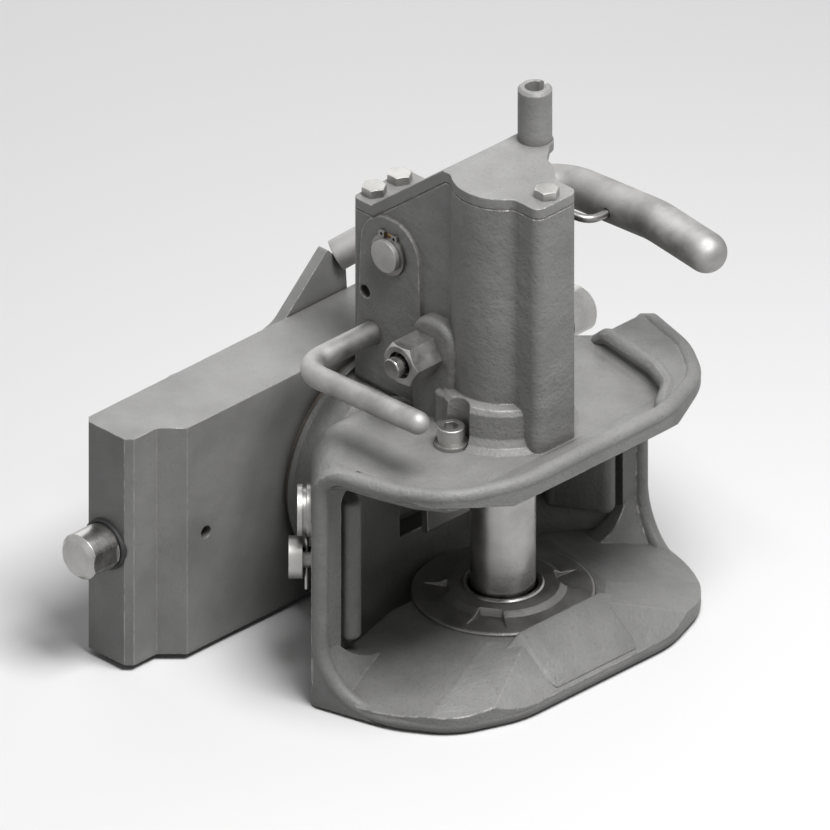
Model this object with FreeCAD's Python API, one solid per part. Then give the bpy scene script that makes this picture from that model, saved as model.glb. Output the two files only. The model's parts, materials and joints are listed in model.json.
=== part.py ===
"""Automatic clevis coupling for a tractor's hitch frame, in millimetres.

A carrier plate with two lock bolts slides in the hitch frame. A cast jaw turns on a spindle in the
plate. The tower on the jaw holds the coupling pin, the lift arm that raises it and the trigger that
a towing eye pushes to let it drop.

Origin: on the lock bolts' axis, in the middle of the plate. +X points out of the jaw, +Y along the
plate's width, away from the closing handle, and +Z up.
"""
import FreeCAD
import Part
import math
import os

V = FreeCAD.Vector

# Coupling pin
pin_diameter = 38.0
pin_axis_x = 141.0
pin_foot_z = -62.0
pin_top_z = 111.0
pin_chamfer = 3.0
guide_clearance = 0.06
lower_bush_play = 1.0
bush_wall = 5.0

# Lift gear: the arm's cam slot raises the cross pin evenly as the shaft turns
lift_height = 108.0
cross_pin_z = 100.0
cross_pin_radius = 6.0
shaft_x = 73.0
shaft_z = 158.0
shaft_radius = 10.0
shaft_fit = 0.05
arm_thickness = 14.0
arm_half_height = 12.0
arm_tip_wall = 4.5
slot_play = 0.3
ratchet_radius = 19.0
ratchet_thickness = 7.0
pin_slot_z = 68.0
pawl_angle = 45.0

# Carrier plate
plate_width = 363.0
plate_height = 150.0
plate_front_x = 31.0
tongue_thickness = 37.0
tongue_width = 22.3
tongue_step = 12.5
tongue_chamfer = 4.0
access_hole_radius = 4.0

# Lock bolts and their lever
lock_bolt_radius = 14.0
lock_bolt_end_y = 206.3
lock_bolt_inner_y = 110.0
lock_bolt_flat = 12.8
driver_depth_x = -4.0
lock_travel = 24.0
lock_turn = 30.0
driver_y = 131.6
driver_radius = 6.0
spring_seat_y = 64.0
spring_wire = 3.0
wiper_radius = 15.5
wiper_depth = 4.0
wiper_proud = 2.5
lever_thickness = 7.0
lever_gap = 0.7
grip_radius = 9.5
grip_length = 95.0

# Swivel
spindle_radius = 30.0
spindle_thread_radius = 26.0
swivel_bush_wall = 4.0
friction_ring_thickness = 3.0
flange_radius = 69.5
flange_gap = 0.3
recess_radius = 52.0
recess_depth = 20.0
washer_thickness = 5.0
nut_thickness = 10.0
nut_radius = 44.0
rear_cover_radius = 60.0
rear_cover_thickness = 4.0
cover_screw_radius = 3.0
cover_screw_grip = 8.0
pivot_radius = 10.0

# Jaw
lip_front_x = 219.0
jaw_half_width = 135.0
jaw_bottom_z = -79.0
rim_top_z = 80.0
crown_rise = 2.0
bead_radius = 5.0
bead_inset = 4.6
bead_sink = 0.4
bead_corner = 16.0
bead_foot_bend = 38.0
bead_longest_bend = 60.0
mouth_floor_z = -48.0
mouth_roof_z = 46.0
mouth_rear_x = 80.0
wall_thickness = 13.0
frame_front_x = 124.0
wear_ring_radius = 53.0
wear_ring_floor_z = -56.0
lower_bush_top_z = -41.0
dish_floor_z = 66.5
gusset_top_z = -24.0
gusset_foot_z = -77.0
cap_screw_place = (141.0, -42.0)

# Tower
tower_radius = 30.0
tower_rear_x = 40.5
tower_half_width = 22.0
boss_half_width = 16.5
boss_front_x = 186.0
cavity_floor_z = 78.0
pad_rear_x = 95.6
pad_front_x = 130.0
pad_top_z = 132.0
arch_radius = 22.5
arch_proud = 2.0
room_half_width = 15.0
rear_room_low_x = 45.5
rear_room_x = 53.0
rear_room_step_z = 125.0
pin_room_play = 2.5
front_room_half_width = 10.0
front_room_x = 179.0
front_room_high_x = 169.5
front_room_step_z = 192.0
front_room_floor_z = 98.0

# Cover
cover_top_z = 229.0
cover_low_z = 182.0
cover_thickness = 6.0
gasket_thickness = 1.0
ramp_low_x = 55.5
ramp_high_x = 114.0
socket_x = 125.0
socket_y = 42.0
socket_radius = 10.0
socket_bore = 6.0
socket_height = 34.5
bolt_radius = 4.0

# Hand lever
lever_radius = 12.25
lever_y = 104.3
lever_bend = 31.0
lever_bush_wall = 3.0
link_hole_x = 133.0
link_hole_z = 162.0
closing_wire = 5.0
spring_gap = 1.5
spring_lug_radius = 4.0
spring_lug_drop = 22.0

# Trigger and closing handle
trigger_x = 58.8
trigger_z = 100.0
trigger_radius = 7.0
handle_corner_y = -83.4
handle_bend = 18.0
handle_end_x = 155.0
trigger_turn = 8.0
trigger_half_width = 12.0
flap_half_width = 20.0

# Indicator
indicator_x = 108.0
indicator_z = 109.4
indicator_flats = 24.0
indicator_pin_radius = 6.2
indicator_travel = 5.0
indicator_spigot = 9.0
indicator_length = 21.4
indicator_inner_y = -15.0

# Side guides
guide_thickness = 12.0
guide_low_z = -45.0
guide_high_z = 47.0
guide_screw_z = 26.4
guide_screw_radius = 5.0
guide_pin_z = -4.8
guide_pin_radius = 6.0
guide_hold = 5.0
guide_washer_thickness = 2.5
split_pin_radius = 1.25
split_pin_spread = 1.5
split_pin_leg = 20.0

plate_rear_x = -tongue_thickness / 2
half_plate = plate_width / 2
pin_radius = pin_diameter / 2
bush_radius = pin_radius + bush_wall
flange_rear_x = plate_front_x + friction_ring_thickness + flange_gap
cover_ramp = (cover_top_z - cover_low_z) / (ramp_high_x - ramp_low_x)
arm_length = pin_axis_x - shaft_x
low_drop = shaft_z - cross_pin_z
high_rise = lift_height - low_drop
low_angle = math.atan2(low_drop, arm_length)
high_angle = math.atan2(high_rise, arm_length)
lift_turn = low_angle + high_angle
lever_rear_x = plate_rear_x - lever_gap - lever_thickness
grip_start = V(lever_rear_x + lever_thickness / 2, 28.0, 96.6)
grip_direction = V(0.527, 0.703, 0.48)
shoulder_x = plate_rear_x + recess_depth - 0.3
spindle_end_x = plate_rear_x + rear_cover_thickness + 0.5
pawl_tip_radius = ratchet_radius + slot_play
spring_mean = shaft_radius + closing_wire / 2 + spring_gap

AXES = {
    "x": (V(0, 1, 0), V(0, 0, 1), V(1, 0, 0)),
    "y": (V(1, 0, 0), V(0, 0, 1), V(0, 1, 0)),
    "z": (V(1, 0, 0), V(0, 1, 0), V(0, 0, 1)),
}


def at(axis, u, v, along):
    """Point at (u, v) across an axis and a distance along it."""
    across, up, out = AXES[axis]
    return across * u + up * v + out * along


def fillet_path(points, radii, closed):
    """Edges through the points, with a tangent arc of its radius at each."""
    count = len(points)
    starts = []
    ends = []
    arcs = []
    for i in range(count):
        here = points[i]
        if radii[i] <= 0:
            starts.append(here)
            ends.append(here)
            arcs.append(None)
            continue
        to_before = (points[i - 1] - here).normalize()
        to_after = (points[(i + 1) % count] - here).normalize()
        half = to_before.getAngle(to_after) / 2
        reach = radii[i] / math.tan(half)
        inward = (to_before + to_after).normalize()
        centre = here + inward * (radii[i] / math.sin(half))
        starts.append(here + to_before * reach)
        ends.append(here + to_after * reach)
        arcs.append(Part.Arc(starts[i], centre - inward * radii[i], ends[i]).toShape())
    edges = []
    for i in range(count):
        if arcs[i]:
            edges.append(arcs[i])
        if i == count - 1 and not closed:
            break
        following = (i + 1) % count
        if (ends[i] - starts[following]).Length > 1e-6:
            edges.append(Part.LineSegment(ends[i], starts[following]).toShape())
    return edges


def prism(axis, corners, low, high):
    """Outline of (u, v) or (u, v, radius) corners, drawn out along an axis."""
    points = [at(axis, c[0], c[1], low) for c in corners]
    radii = [c[2] if len(c) > 2 else 0.0 for c in corners]
    face = Part.Face(Part.Wire(fillet_path(points, radii, True)))
    return face.extrude(AXES[axis][2] * (high - low))


def mirrored(half):
    """Outline of both sides from the corners of its +v side, rear to front."""
    other = [(c[0], -c[1]) + tuple(c[2:]) for c in reversed(half)]
    return half + other


def drum(axis, centre, radius, low, high):
    """Cylinder along an axis."""
    return Part.makeCylinder(radius, high - low, at(axis, centre[0], centre[1], low), AXES[axis][2])


def ring(axis, centre, outer, inner, low, high):
    """Cylinder with a bore."""
    return drum(axis, centre, outer, low, high).cut(drum(axis, centre, inner, low - 1, high + 1))


def turned(axis, centre, profile):
    """Solid turned about an axis from (along, radius) corners."""
    points = [at(axis, centre[0] + radius, centre[1], along) for along, radius in profile]
    face = Part.Face(Part.Wire(fillet_path(points, [0.0] * len(points), True)))
    return face.revolve(at(axis, centre[0], centre[1], 0), AXES[axis][2], 360)


def hexagon(axis, centre, flats, low, high):
    """Six-sided bar along an axis."""
    corner = flats / math.sqrt(3)
    turns = [math.radians(60 * i) for i in range(6)]
    corners = [(centre[0] + corner * math.cos(t), centre[1] + corner * math.sin(t)) for t in turns]
    return prism(axis, corners, low, high)


def bar(start, direction, length, radius):
    """Round bar from a point along any direction."""
    return Part.makeCylinder(radius, length, start, direction)


def rod(points, radii, thickness):
    """Bent round bar along straight runs, with a bend at each inner point."""
    edges = fillet_path(points, radii, False)
    circle = Part.Circle(points[0], points[1] - points[0], thickness).toShape()
    return Part.Wire(edges).makePipeShell([Part.Wire(circle)], True, False)


def hoop(points, radii, thickness):
    """Closed loop of round bar that starts in the middle of the run from its last point to its first."""
    middle = (points[0] + points[-1]) / 2
    return rod([middle] + points + [middle], [0] + radii + [0], thickness)


def beyond(point, normal):
    """Block that fills the side of a plane that its normal points to."""
    size = 600.0
    block = Part.makeBox(size, size, size)
    block.translate(V(-size / 2, -size / 2, 0))
    turn = FreeCAD.Rotation(V(0, 0, 1), normal)
    block.rotate(V(0, 0, 0), turn.Axis, math.degrees(turn.Angle))
    block.translate(point)
    return block


def join(shapes):
    """One solid from shapes that meet."""
    return shapes[0].fuse(shapes[1:]).removeSplitter()


def both_sides(shape):
    """The shape and its mirror image across the middle plane."""
    return Part.Compound([shape, shape.mirror(V(0, 0, 0), V(0, 1, 0))])


def rounded(shape, radius, chosen):
    """Shape with a fillet on each edge that the test picks."""
    return shape.makeFillet(radius, [edge for edge in shape.Edges if chosen(edge)])


def is_upright(edge):
    """True for a straight edge along Z."""
    box = edge.BoundBox
    return box.XLength < 0.01 and box.YLength < 0.01 and box.ZLength > 1


def lies_at_z(edge, z):
    """True for an edge that lies level at a height."""
    box = edge.BoundBox
    return abs(box.ZMin - z) < 0.01 and abs(box.ZMax - z) < 0.01


# Carrier plate and lock bolts

def carrier_plate():
    """Plate with stepped tongues, bored for the swivel and the lock bolts."""
    tip = -plate_rear_x
    step_y = half_plate - tongue_width
    half = [
        (plate_rear_x, half_plate - tongue_chamfer),
        (plate_rear_x + tongue_chamfer, half_plate),
        (tip - tongue_chamfer, half_plate),
        (tip, half_plate - tongue_chamfer),
        (tip, step_y),
        (plate_front_x, step_y - tongue_step),
    ]
    plate = prism("z", mirrored(half), -plate_height / 2, plate_height / 2)
    cuts = [
        drum("x", (0, 0), spindle_radius + swivel_bush_wall, plate_rear_x, plate_front_x),
        drum("x", (0, 0), recess_radius, plate_rear_x, plate_rear_x + recess_depth),
        drum("x", (0, 0), rear_cover_radius, plate_rear_x, plate_rear_x + rear_cover_thickness),
    ]
    for side in (1, -1):
        channel = drum("y", (0, 0), lock_bolt_radius + shaft_fit, spring_seat_y, half_plate + 1)
        mouth = drum("y", (0, 0), wiper_radius, half_plate - wiper_depth, half_plate + 1)
        width = driver_radius + slot_play
        inner = driver_y - lock_travel - width
        slot = prism("x", [
            (inner, -width, width * 0.99),
            (driver_y + width, -width, width * 0.99),
            (driver_y + width, width, width * 0.99),
            (inner, width, width * 0.99),
        ], plate_rear_x, 0)
        access = drum("x", (driver_y, 0), access_hole_radius, 0, plate_front_x + 1)
        group = channel.fuse([mouth, slot, access])
        if side < 0:
            group = group.mirror(V(0, 0, 0), V(0, 1, 0))
        cuts.append(group)
    for y, z in cover_screw_places():
        depth = plate_rear_x + rear_cover_thickness
        cuts.append(drum("x", (y, z), cover_screw_radius, depth, depth + cover_screw_grip))
    return plate.cut(cuts)


def lock_bolt():
    """Bolt of the +Y side, with a flat and a blind hole for its driver pin."""
    end = lock_bolt_end_y
    bolt = turned("y", (0, 0), [
        (lock_bolt_inner_y, 0), (lock_bolt_inner_y, lock_bolt_radius - 1),
        (lock_bolt_inner_y + 1, lock_bolt_radius), (end - 3, lock_bolt_radius),
        (end, lock_bolt_radius - 3), (end, 0),
    ])
    flat = beyond(V(lock_bolt_flat, 0, 0), V(1, 0, 0)).common(
        Part.makeBox(100, 100, 100, V(0, half_plate + wiper_proud + 1, -50)))
    hole = drum("x", (driver_y, 0), driver_radius, -lock_bolt_radius - 1, driver_depth_x)
    return bolt.cut([flat, hole])


def driver_pin():
    """Pin from the lock bolt back through the lever's cam slot."""
    return drum("x", (driver_y, 0), driver_radius, lever_rear_x - 1.5, driver_depth_x)


def bolt_wiper():
    """Ring that wipes the lock bolt where it leaves the plate."""
    low = half_plate - wiper_depth
    return ring("y", (0, 0), wiper_radius, lock_bolt_radius + slot_play, low, half_plate + wiper_proud)


def coil_sleeve(axis, centre, mean, wire, low, high):
    """Closed form of a coil spring: a tube with a rounded ridge for each turn."""
    turns = max(2, round((high - low) / (2 * wire)))
    pitch = (high - low) / turns
    outer = []
    inner = []
    for i in range(turns):
        base = low + pitch * i
        outer += [(base, mean), (base + pitch * 0.25, mean + wire / 2), (base + pitch * 0.75, mean + wire / 2)]
        inner += [(base, mean - wire * 0.3), (base + pitch / 2, mean - wire / 2)]
    outer.append((high, mean))
    inner.append((high, mean - wire * 0.3))
    return turned(axis, centre, outer + inner[::-1])


def lock_spring():
    """Spring that pushes the lock bolt out."""
    return coil_sleeve("y", (0, 0), lock_bolt_radius - 3.5, spring_wire, spring_seat_y, lock_bolt_inner_y)


# Lock lever behind the plate


def cam_slot():
    """Spiral slot of the +Y wing: its radius falls evenly as the lever turns."""
    width = driver_radius + slot_play
    steps = 8
    over = 1.5
    sides = {1: [], -1: []}
    centres = []
    for i in range(steps + 1):
        turn = -over + (lock_turn + 2 * over) * i / steps
        radius = driver_y - lock_travel * turn / lock_turn
        centres.append((radius, math.radians(-turn)))
    fall = lock_travel / math.radians(lock_turn)
    for radius, angle in centres:
        centre = V(0, radius * math.cos(angle), radius * math.sin(angle))
        outward = V(0, math.cos(angle), math.sin(angle))
        along = V(0, math.sin(angle), -math.cos(angle)) * radius - outward * fall
        along.normalize()
        across = V(1, 0, 0).cross(along)
        for side in sides:
            sides[side].append(centre + across * (width * side))
    curves = {}
    for side in sides:
        curve = Part.BSplineCurve()
        curve.interpolate(sides[side])
        curves[side] = curve.toShape()
    first = Part.LineSegment(sides[1][0], sides[-1][0]).toShape()
    last = Part.LineSegment(sides[1][-1], sides[-1][-1]).toShape()
    face = Part.Face(Part.Wire(Part.sortEdges([curves[1], last, curves[-1], first])[0]))
    slot = face.extrude(V(lever_thickness + 2, 0, 0))
    ends = []
    for radius, angle in (centres[0], centres[-1]):
        place = (radius * math.cos(angle), radius * math.sin(angle))
        ends.append(drum("x", place, width, 0, lever_thickness + 2))
    slot = slot.fuse(ends)
    slot.translate(V(lever_rear_x - 1, 0, 0))
    return slot


def lock_lever_plate():
    """Cam plate with a wing for each bolt and an arm up to the grip."""
    front = lever_rear_x + lever_thickness
    wing = [
        (-20, 26), (60, 26, 30), (140, 17, 12), (148, -8, 14), (110, -70, 14), (72, -66, 12), (-20, -26),
    ]
    right = prism("x", wing, lever_rear_x, front)
    left = right.copy()
    left.rotate(V(0, 0, 0), V(1, 0, 0), 180)
    arm = prism("x", [
        (-34, 0), (-70, 58, 10), (-20, 71, 20), (17.6, 106, 1.5), (32.2, 90.4, 1.5), (33.3, 75, 8), (34, 0),
    ], lever_rear_x, front)
    hub = drum("x", (0, 0), 38, lever_rear_x, front)
    slot = cam_slot()
    other_slot = slot.copy()
    other_slot.rotate(V(0, 0, 0), V(1, 0, 0), 180)
    bore = drum("x", (0, 0), pivot_radius + shaft_fit, lever_rear_x - 1, front + 1)
    return join([hub, right, left, arm]).cut([slot, other_slot, bore])


def lever_grip(plate):
    """Grip bar welded to the arm's corner, leaning out over the plate."""
    reach = V(grip_direction).normalize()
    grip = bar(grip_start, reach, grip_length, grip_radius)
    end = grip_start + reach * grip_length
    tip = [edge for edge in grip.Edges if edge.BoundBox.Center.distanceToPoint(end) < 0.5]
    return grip.makeFillet(2.0, tip).cut(plate)


def lever_washer():
    """Washer between the lever and its circlip."""
    return ring("x", (0, 0), 17, pivot_radius + shaft_fit, lever_rear_x - 3.3, lever_rear_x - 0.3)


def circlip(axis, centre, shaft, low, high):
    """Open retaining ring with an eye at each end."""
    wall = shaft * 0.3
    clip = ring(axis, centre, shaft + wall, shaft - 0.8, low, high)
    eyes = []
    holes = []
    for side in (1, -1):
        place = (centre[0] + side * shaft * 0.5, centre[1] + shaft + wall * 0.7)
        eyes.append(drum(axis, place, wall * 0.85, low, high))
        holes.append(drum(axis, place, wall * 0.35, low - 1, high + 1))
    clip = join([clip] + eyes).cut(holes)
    gap = prism(axis, [
        (centre[0] - shaft * 0.3, centre[1]),
        (centre[0] + shaft * 0.3, centre[1]),
        (centre[0] + shaft * 0.3, centre[1] + shaft * 2),
        (centre[0] - shaft * 0.3, centre[1] + shaft * 2),
    ], low - 1, high + 1)
    return clip.cut(gap)


def groove(axis, centre, shaft, low, high):
    """Groove in a shaft for its retaining ring."""
    return ring(axis, centre, shaft + 1, shaft - 0.8, low, high)


# Rear cover and swivel

def cover_screw_places():
    """Centres of the rear cover's screws, between recess and rim."""
    middle = (recess_radius + rear_cover_radius) / 2
    turns = [math.radians(45 + 90 * i) for i in range(4)]
    return [(middle * math.cos(t), middle * math.sin(t)) for t in turns]


def rear_cover():
    """Flush cover over the spindle nut, with the lever's pivot stud."""
    disc = drum("x", (0, 0), rear_cover_radius - 0.2, plate_rear_x, plate_rear_x + rear_cover_thickness)
    stud_end = lever_rear_x - 8
    stud = drum("x", (0, 0), pivot_radius, stud_end, plate_rear_x + 1)
    slot = groove("x", (0, 0), pivot_radius, lever_rear_x - 5.1, lever_rear_x - 3.3)
    cover = join([disc, stud]).cut(slot)
    heads = []
    for y, z in cover_screw_places():
        heads.append(cover_screw(y, z))
    return cover.cut(heads)


def cover_screw(y, z):
    """Countersunk screw, flush with the cover."""
    sink = rear_cover_thickness - 1
    return turned("x", (y, z), [
        (plate_rear_x, 0), (plate_rear_x, cover_screw_radius + sink * 0.35),
        (plate_rear_x + sink, cover_screw_radius),
        (plate_rear_x + rear_cover_thickness + cover_screw_grip - 1, cover_screw_radius),
        (plate_rear_x + rear_cover_thickness + cover_screw_grip - 1, 0),
    ])


def cover_screws():
    """The rear cover's four screws."""
    return Part.Compound([cover_screw(y, z) for y, z in cover_screw_places()])


def swivel_bush():
    """Bush that the jaw's spindle turns in."""
    low = plate_rear_x + recess_depth
    return ring("x", (0, 0), spindle_radius + swivel_bush_wall, spindle_radius + shaft_fit, low, plate_front_x)


def friction_ring():
    """Brake ring between the plate and the jaw's flange."""
    high = plate_front_x + friction_ring_thickness
    return ring("x", (0, 0), flange_radius - 3, spindle_radius + 3, plate_front_x, high)


def thrust_washer():
    """Washer on the spindle's shoulder."""
    high = shoulder_x
    return ring("x", (0, 0), recess_radius - 3, spindle_thread_radius + 0.3, high - washer_thickness, high)


def spindle_nut():
    """Slotted round nut on the spindle's thread."""
    high = shoulder_x - washer_thickness
    nut = ring("x", (0, 0), nut_radius, spindle_thread_radius, high - nut_thickness, high)
    cuts = []
    for i in range(4):
        key = prism("x", [
            (nut_radius - 5, -4), (nut_radius + 2, -4), (nut_radius + 2, 4), (nut_radius - 5, 4),
        ], high - nut_thickness - 1, high + 1)
        key.rotate(V(0, 0, 0), V(1, 0, 0), 90 * i)
        cuts.append(key)
    return nut.cut(cuts)


# Jaw

def lip_plan(inset=0.0):
    """Plan of both lips: widest at the frame, then in to the blunt front edge."""
    half = [
        (112, jaw_half_width - 8 - inset),
        (frame_front_x - 4, jaw_half_width - inset, 8),
        (172 - inset * 0.3, jaw_half_width - 13 - inset, 100),
        (203 - inset * 0.8, jaw_half_width - 33 - inset * 0.7, 45),
        (lip_front_x - inset, 61 - inset * 0.4, 60),
    ]
    return mirrored(half)


def lower_lip():
    """Lower lip: a plateau that falls to the rim at both sides and at the front."""
    lip = prism("z", lip_plan(), jaw_bottom_z, mouth_floor_z)
    lip = rounded(lip, 5, lambda edge: lies_at_z(edge, jaw_bottom_z) and edge.BoundBox.XMax > 70)
    cuts = [beyond(V(191.4, 0, mouth_floor_z), V(0.624, 0, 0.781))]
    for side in (1, -1):
        cuts.append(beyond(V(117, 61 * side, mouth_floor_z), V(0.0572, 0.2816 * side, 0.9579)))
        cuts.append(beyond(V(184, 40.5 * side, mouth_floor_z), V(0.251, 0.2276 * side, 0.9409)))
    return lip.cut(cuts)


def upper_lip():
    """Upper lip: rises under its rim, with a dished top."""
    lip = prism("z", lip_plan(), mouth_roof_z, rim_top_z)
    lip = rounded(lip, 5, lambda edge: lies_at_z(edge, rim_top_z) and edge.BoundBox.XMax > 70)
    cuts = [beyond(V(187, 0, mouth_roof_z), V(0.566, 0, -0.824))]
    for side in (1, -1):
        cuts.append(beyond(V(117, 50 * side, mouth_roof_z), V(0.04, 0.36 * side, -0.932)))
        cuts.append(beyond(V(184, 38 * side, mouth_roof_z), V(0.3, 0.3 * side, -0.906)))
    cuts.append(prism("y", [
        (60, dish_floor_z + 2), (118, dish_floor_z + 2), (129, rim_top_z), (129, rim_top_z + 20), (60, rim_top_z + 20),
    ], -200, 200))
    return lip.cut(cuts).cut(dish())


def rim_bead():
    """Rolled bead round the mouth: along both lips' rims and down the frame's sides."""
    upper_z = rim_top_z + crown_rise - bead_radius
    lower_z = jaw_bottom_z + bead_radius + bead_sink
    rim = [(x, y, min(radius, bead_longest_bend)) for x, y, radius in lip_plan(bead_inset)[2:5]]
    side_x = frame_front_x - 2
    side_y = jaw_half_width - bead_radius - 0.1
    path = [(V(x, y, upper_z), radius) for x, y, radius in rim[::-1]]
    path += [(V(side_x, side_y, upper_z), bead_corner), (V(side_x, side_y, lower_z), bead_foot_bend)]
    path += [(V(x, y, lower_z), radius) for x, y, radius in rim]
    path += [(V(point.x, -point.y, point.z), radius) for point, radius in path[::-1]]
    return hoop([point for point, radius in path], [radius for point, radius in path], bead_radius)


def dish():
    """Space cut out of the upper lip's top, with a ramp up to the front edge."""
    floor = dish_floor_z
    top = rim_top_z + crown_rise + 10
    plan = [
        (40, 104), (112, 104, 4), (124, 97, 6), (173, 90, 30), (193, 81, 16), (207, 60, 14), (236, 58),
        (236, -62), (212, -66, 14), (199, -96, 14), (172, -111, 24), (131, -122, 4), (112, -160), (40, -160),
    ]
    pocket = prism("z", plan, floor, top)
    pocket = rounded(pocket, 6, lambda edge: lies_at_z(edge, floor) and edge.BoundBox.XMax < 230)
    ramp = beyond(V(187, 0, floor), V(0.406, 0, -0.914))
    return pocket.cut(ramp)


def jaw_walls():
    """Funnel behind the frame: side walls that close in to the rear of the mouth."""
    top = dish_floor_z
    rear_x = 64.0
    far = frame_front_x + 40
    outer = mirrored([(rear_x, rear_x + 15, 30), (far, far + 15)])
    block = prism("z", outer, jaw_bottom_z, top)
    block = rounded(block, 20, lambda edge: edge.BoundBox.XMax < far + 1 and edge.BoundBox.XMin < far - 1
                    and (lies_at_z(edge, top) or lies_at_z(edge, jaw_bottom_z)))
    front = prism("z", mirrored([(0, jaw_half_width), (frame_front_x, jaw_half_width, 8)]), jaw_bottom_z, top)
    block = block.common(front)
    drop = wall_thickness * math.sqrt(2)
    inner_half = mouth_rear_x + 15 - drop
    inner = mirrored([
        (mouth_rear_x, inner_half, 26),
        (frame_front_x - 6, frame_front_x - 6 + 15 - drop, 6),
        (frame_front_x + 30, frame_front_x + 9 - drop),
    ])
    low = jaw_bottom_z + 12
    high = top - 8
    cavity = prism("z", inner, low, high)
    for radius, level in ((24, low), (10, high)):
        cavity = rounded(cavity, radius, lambda edge: edge.BoundBox.XMin < frame_front_x
                         and edge.BoundBox.XMax < frame_front_x + 29.9 and lies_at_z(edge, level))
    return block.cut(cavity)


def corner_cuts():
    """Rounding of the frame's top corners, drawn out along the funnel's walls."""
    top = rim_top_z + crown_rise
    radius = 22.0
    cutter = prism("y", [
        (-30, top - radius - 20), (0, top - radius - 20), (0, top, radius), (24, top), (24, top + 20), (-30, top + 20),
    ], -20, 60)
    cutters = []
    for side in (1, -1):
        turn = cutter.copy()
        turn.rotate(V(0, 0, 0), V(0, 0, 1), -45 * side)
        turn.translate(V(frame_front_x - 4, jaw_half_width * side, 0))
        cutters.append(turn)
    return cutters


def gussets():
    """Hollow corners that carry the frame's sides forward into the lower lip."""
    profile = [
        (jaw_half_width, jaw_bottom_z + 2), (jaw_half_width, gusset_top_z), (jaw_half_width - 12, gusset_top_z),
        (jaw_half_width - 12, mouth_floor_z - 16, 34), (60, mouth_floor_z - 4), (60, jaw_bottom_z + 2),
    ]
    body = prism("x", profile, frame_front_x - 6, 176).common(prism("z", lip_plan(), jaw_bottom_z, 0))
    start = frame_front_x - 1
    front = prism("y", [
        (start, 40), (start, gusset_foot_z, 44), (240, gusset_foot_z), (240, 40),
    ], 0, 200)
    body = body.cut(front)
    return [body, mirror_y(body)]


def neck():
    """Swivel flange, the cone up to the funnel, and the spindle."""
    flange = turned("x", (0, 0), [
        (flange_rear_x, 0), (flange_rear_x, flange_radius - 1), (flange_rear_x + 1, flange_radius),
        (flange_rear_x + 5, flange_radius), (66, 79), (mouth_rear_x - 4, 74), (mouth_rear_x - 4, 0),
    ])
    above = Part.makeBox(100, 200, 60, V(flange_rear_x + 5, -100, dish_floor_z - 3))
    flange = flange.cut(above)
    spindle = turned("x", (0, 0), [
        (flange_rear_x + 1, 0), (flange_rear_x + 1, spindle_radius), (shoulder_x, spindle_radius),
        (shoulder_x, spindle_thread_radius), (spindle_end_x + 1.5, spindle_thread_radius),
        (spindle_end_x, spindle_thread_radius - 1.5), (spindle_end_x, 0),
    ])
    return join([flange, spindle])


def tower_mass(low, high):
    """Tower's plan: rear box, round pin housing and narrow front boss."""
    box = prism("z", mirrored([(tower_rear_x, tower_half_width, 4), (pin_axis_x, tower_half_width)]), low, high)
    barrel = drum("z", (pin_axis_x, 0), tower_radius, low, high)
    boss = prism("z", mirrored([(pin_axis_x, boss_half_width), (boss_front_x, boss_half_width, 6)]), low, high)
    mass = join([box, barrel, boss])
    box_x = pin_axis_x - math.sqrt(tower_radius ** 2 - tower_half_width ** 2)
    boss_x = pin_axis_x + math.sqrt(tower_radius ** 2 - boss_half_width ** 2)

    def at_joint(edge):
        centre = edge.BoundBox.Center
        return is_upright(edge) and min(abs(centre.x - box_x), abs(centre.x - boss_x)) < 0.5
    return rounded(mass, 6, at_joint)


def roof_profile(depth, thickness):
    """Side profile of a layer that follows the tower's stepped roof."""
    slope = math.sqrt(1 + cover_ramp ** 2)
    points = []
    for down in (depth, depth + thickness):
        shift = down * (slope - 1) / cover_ramp
        points.append([
            (tower_rear_x - 40, cover_low_z - down), (ramp_low_x + shift, cover_low_z - down),
            (ramp_high_x + shift, cover_top_z - down), (boss_front_x + 40, cover_top_z - down),
        ])
    return points[0] + points[1][::-1]


def roof_layer(depth, thickness):
    """Layer of a thickness that follows the tower's roof, wider than the tower."""
    return prism("y", roof_profile(depth, thickness), -80, 80)


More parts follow.
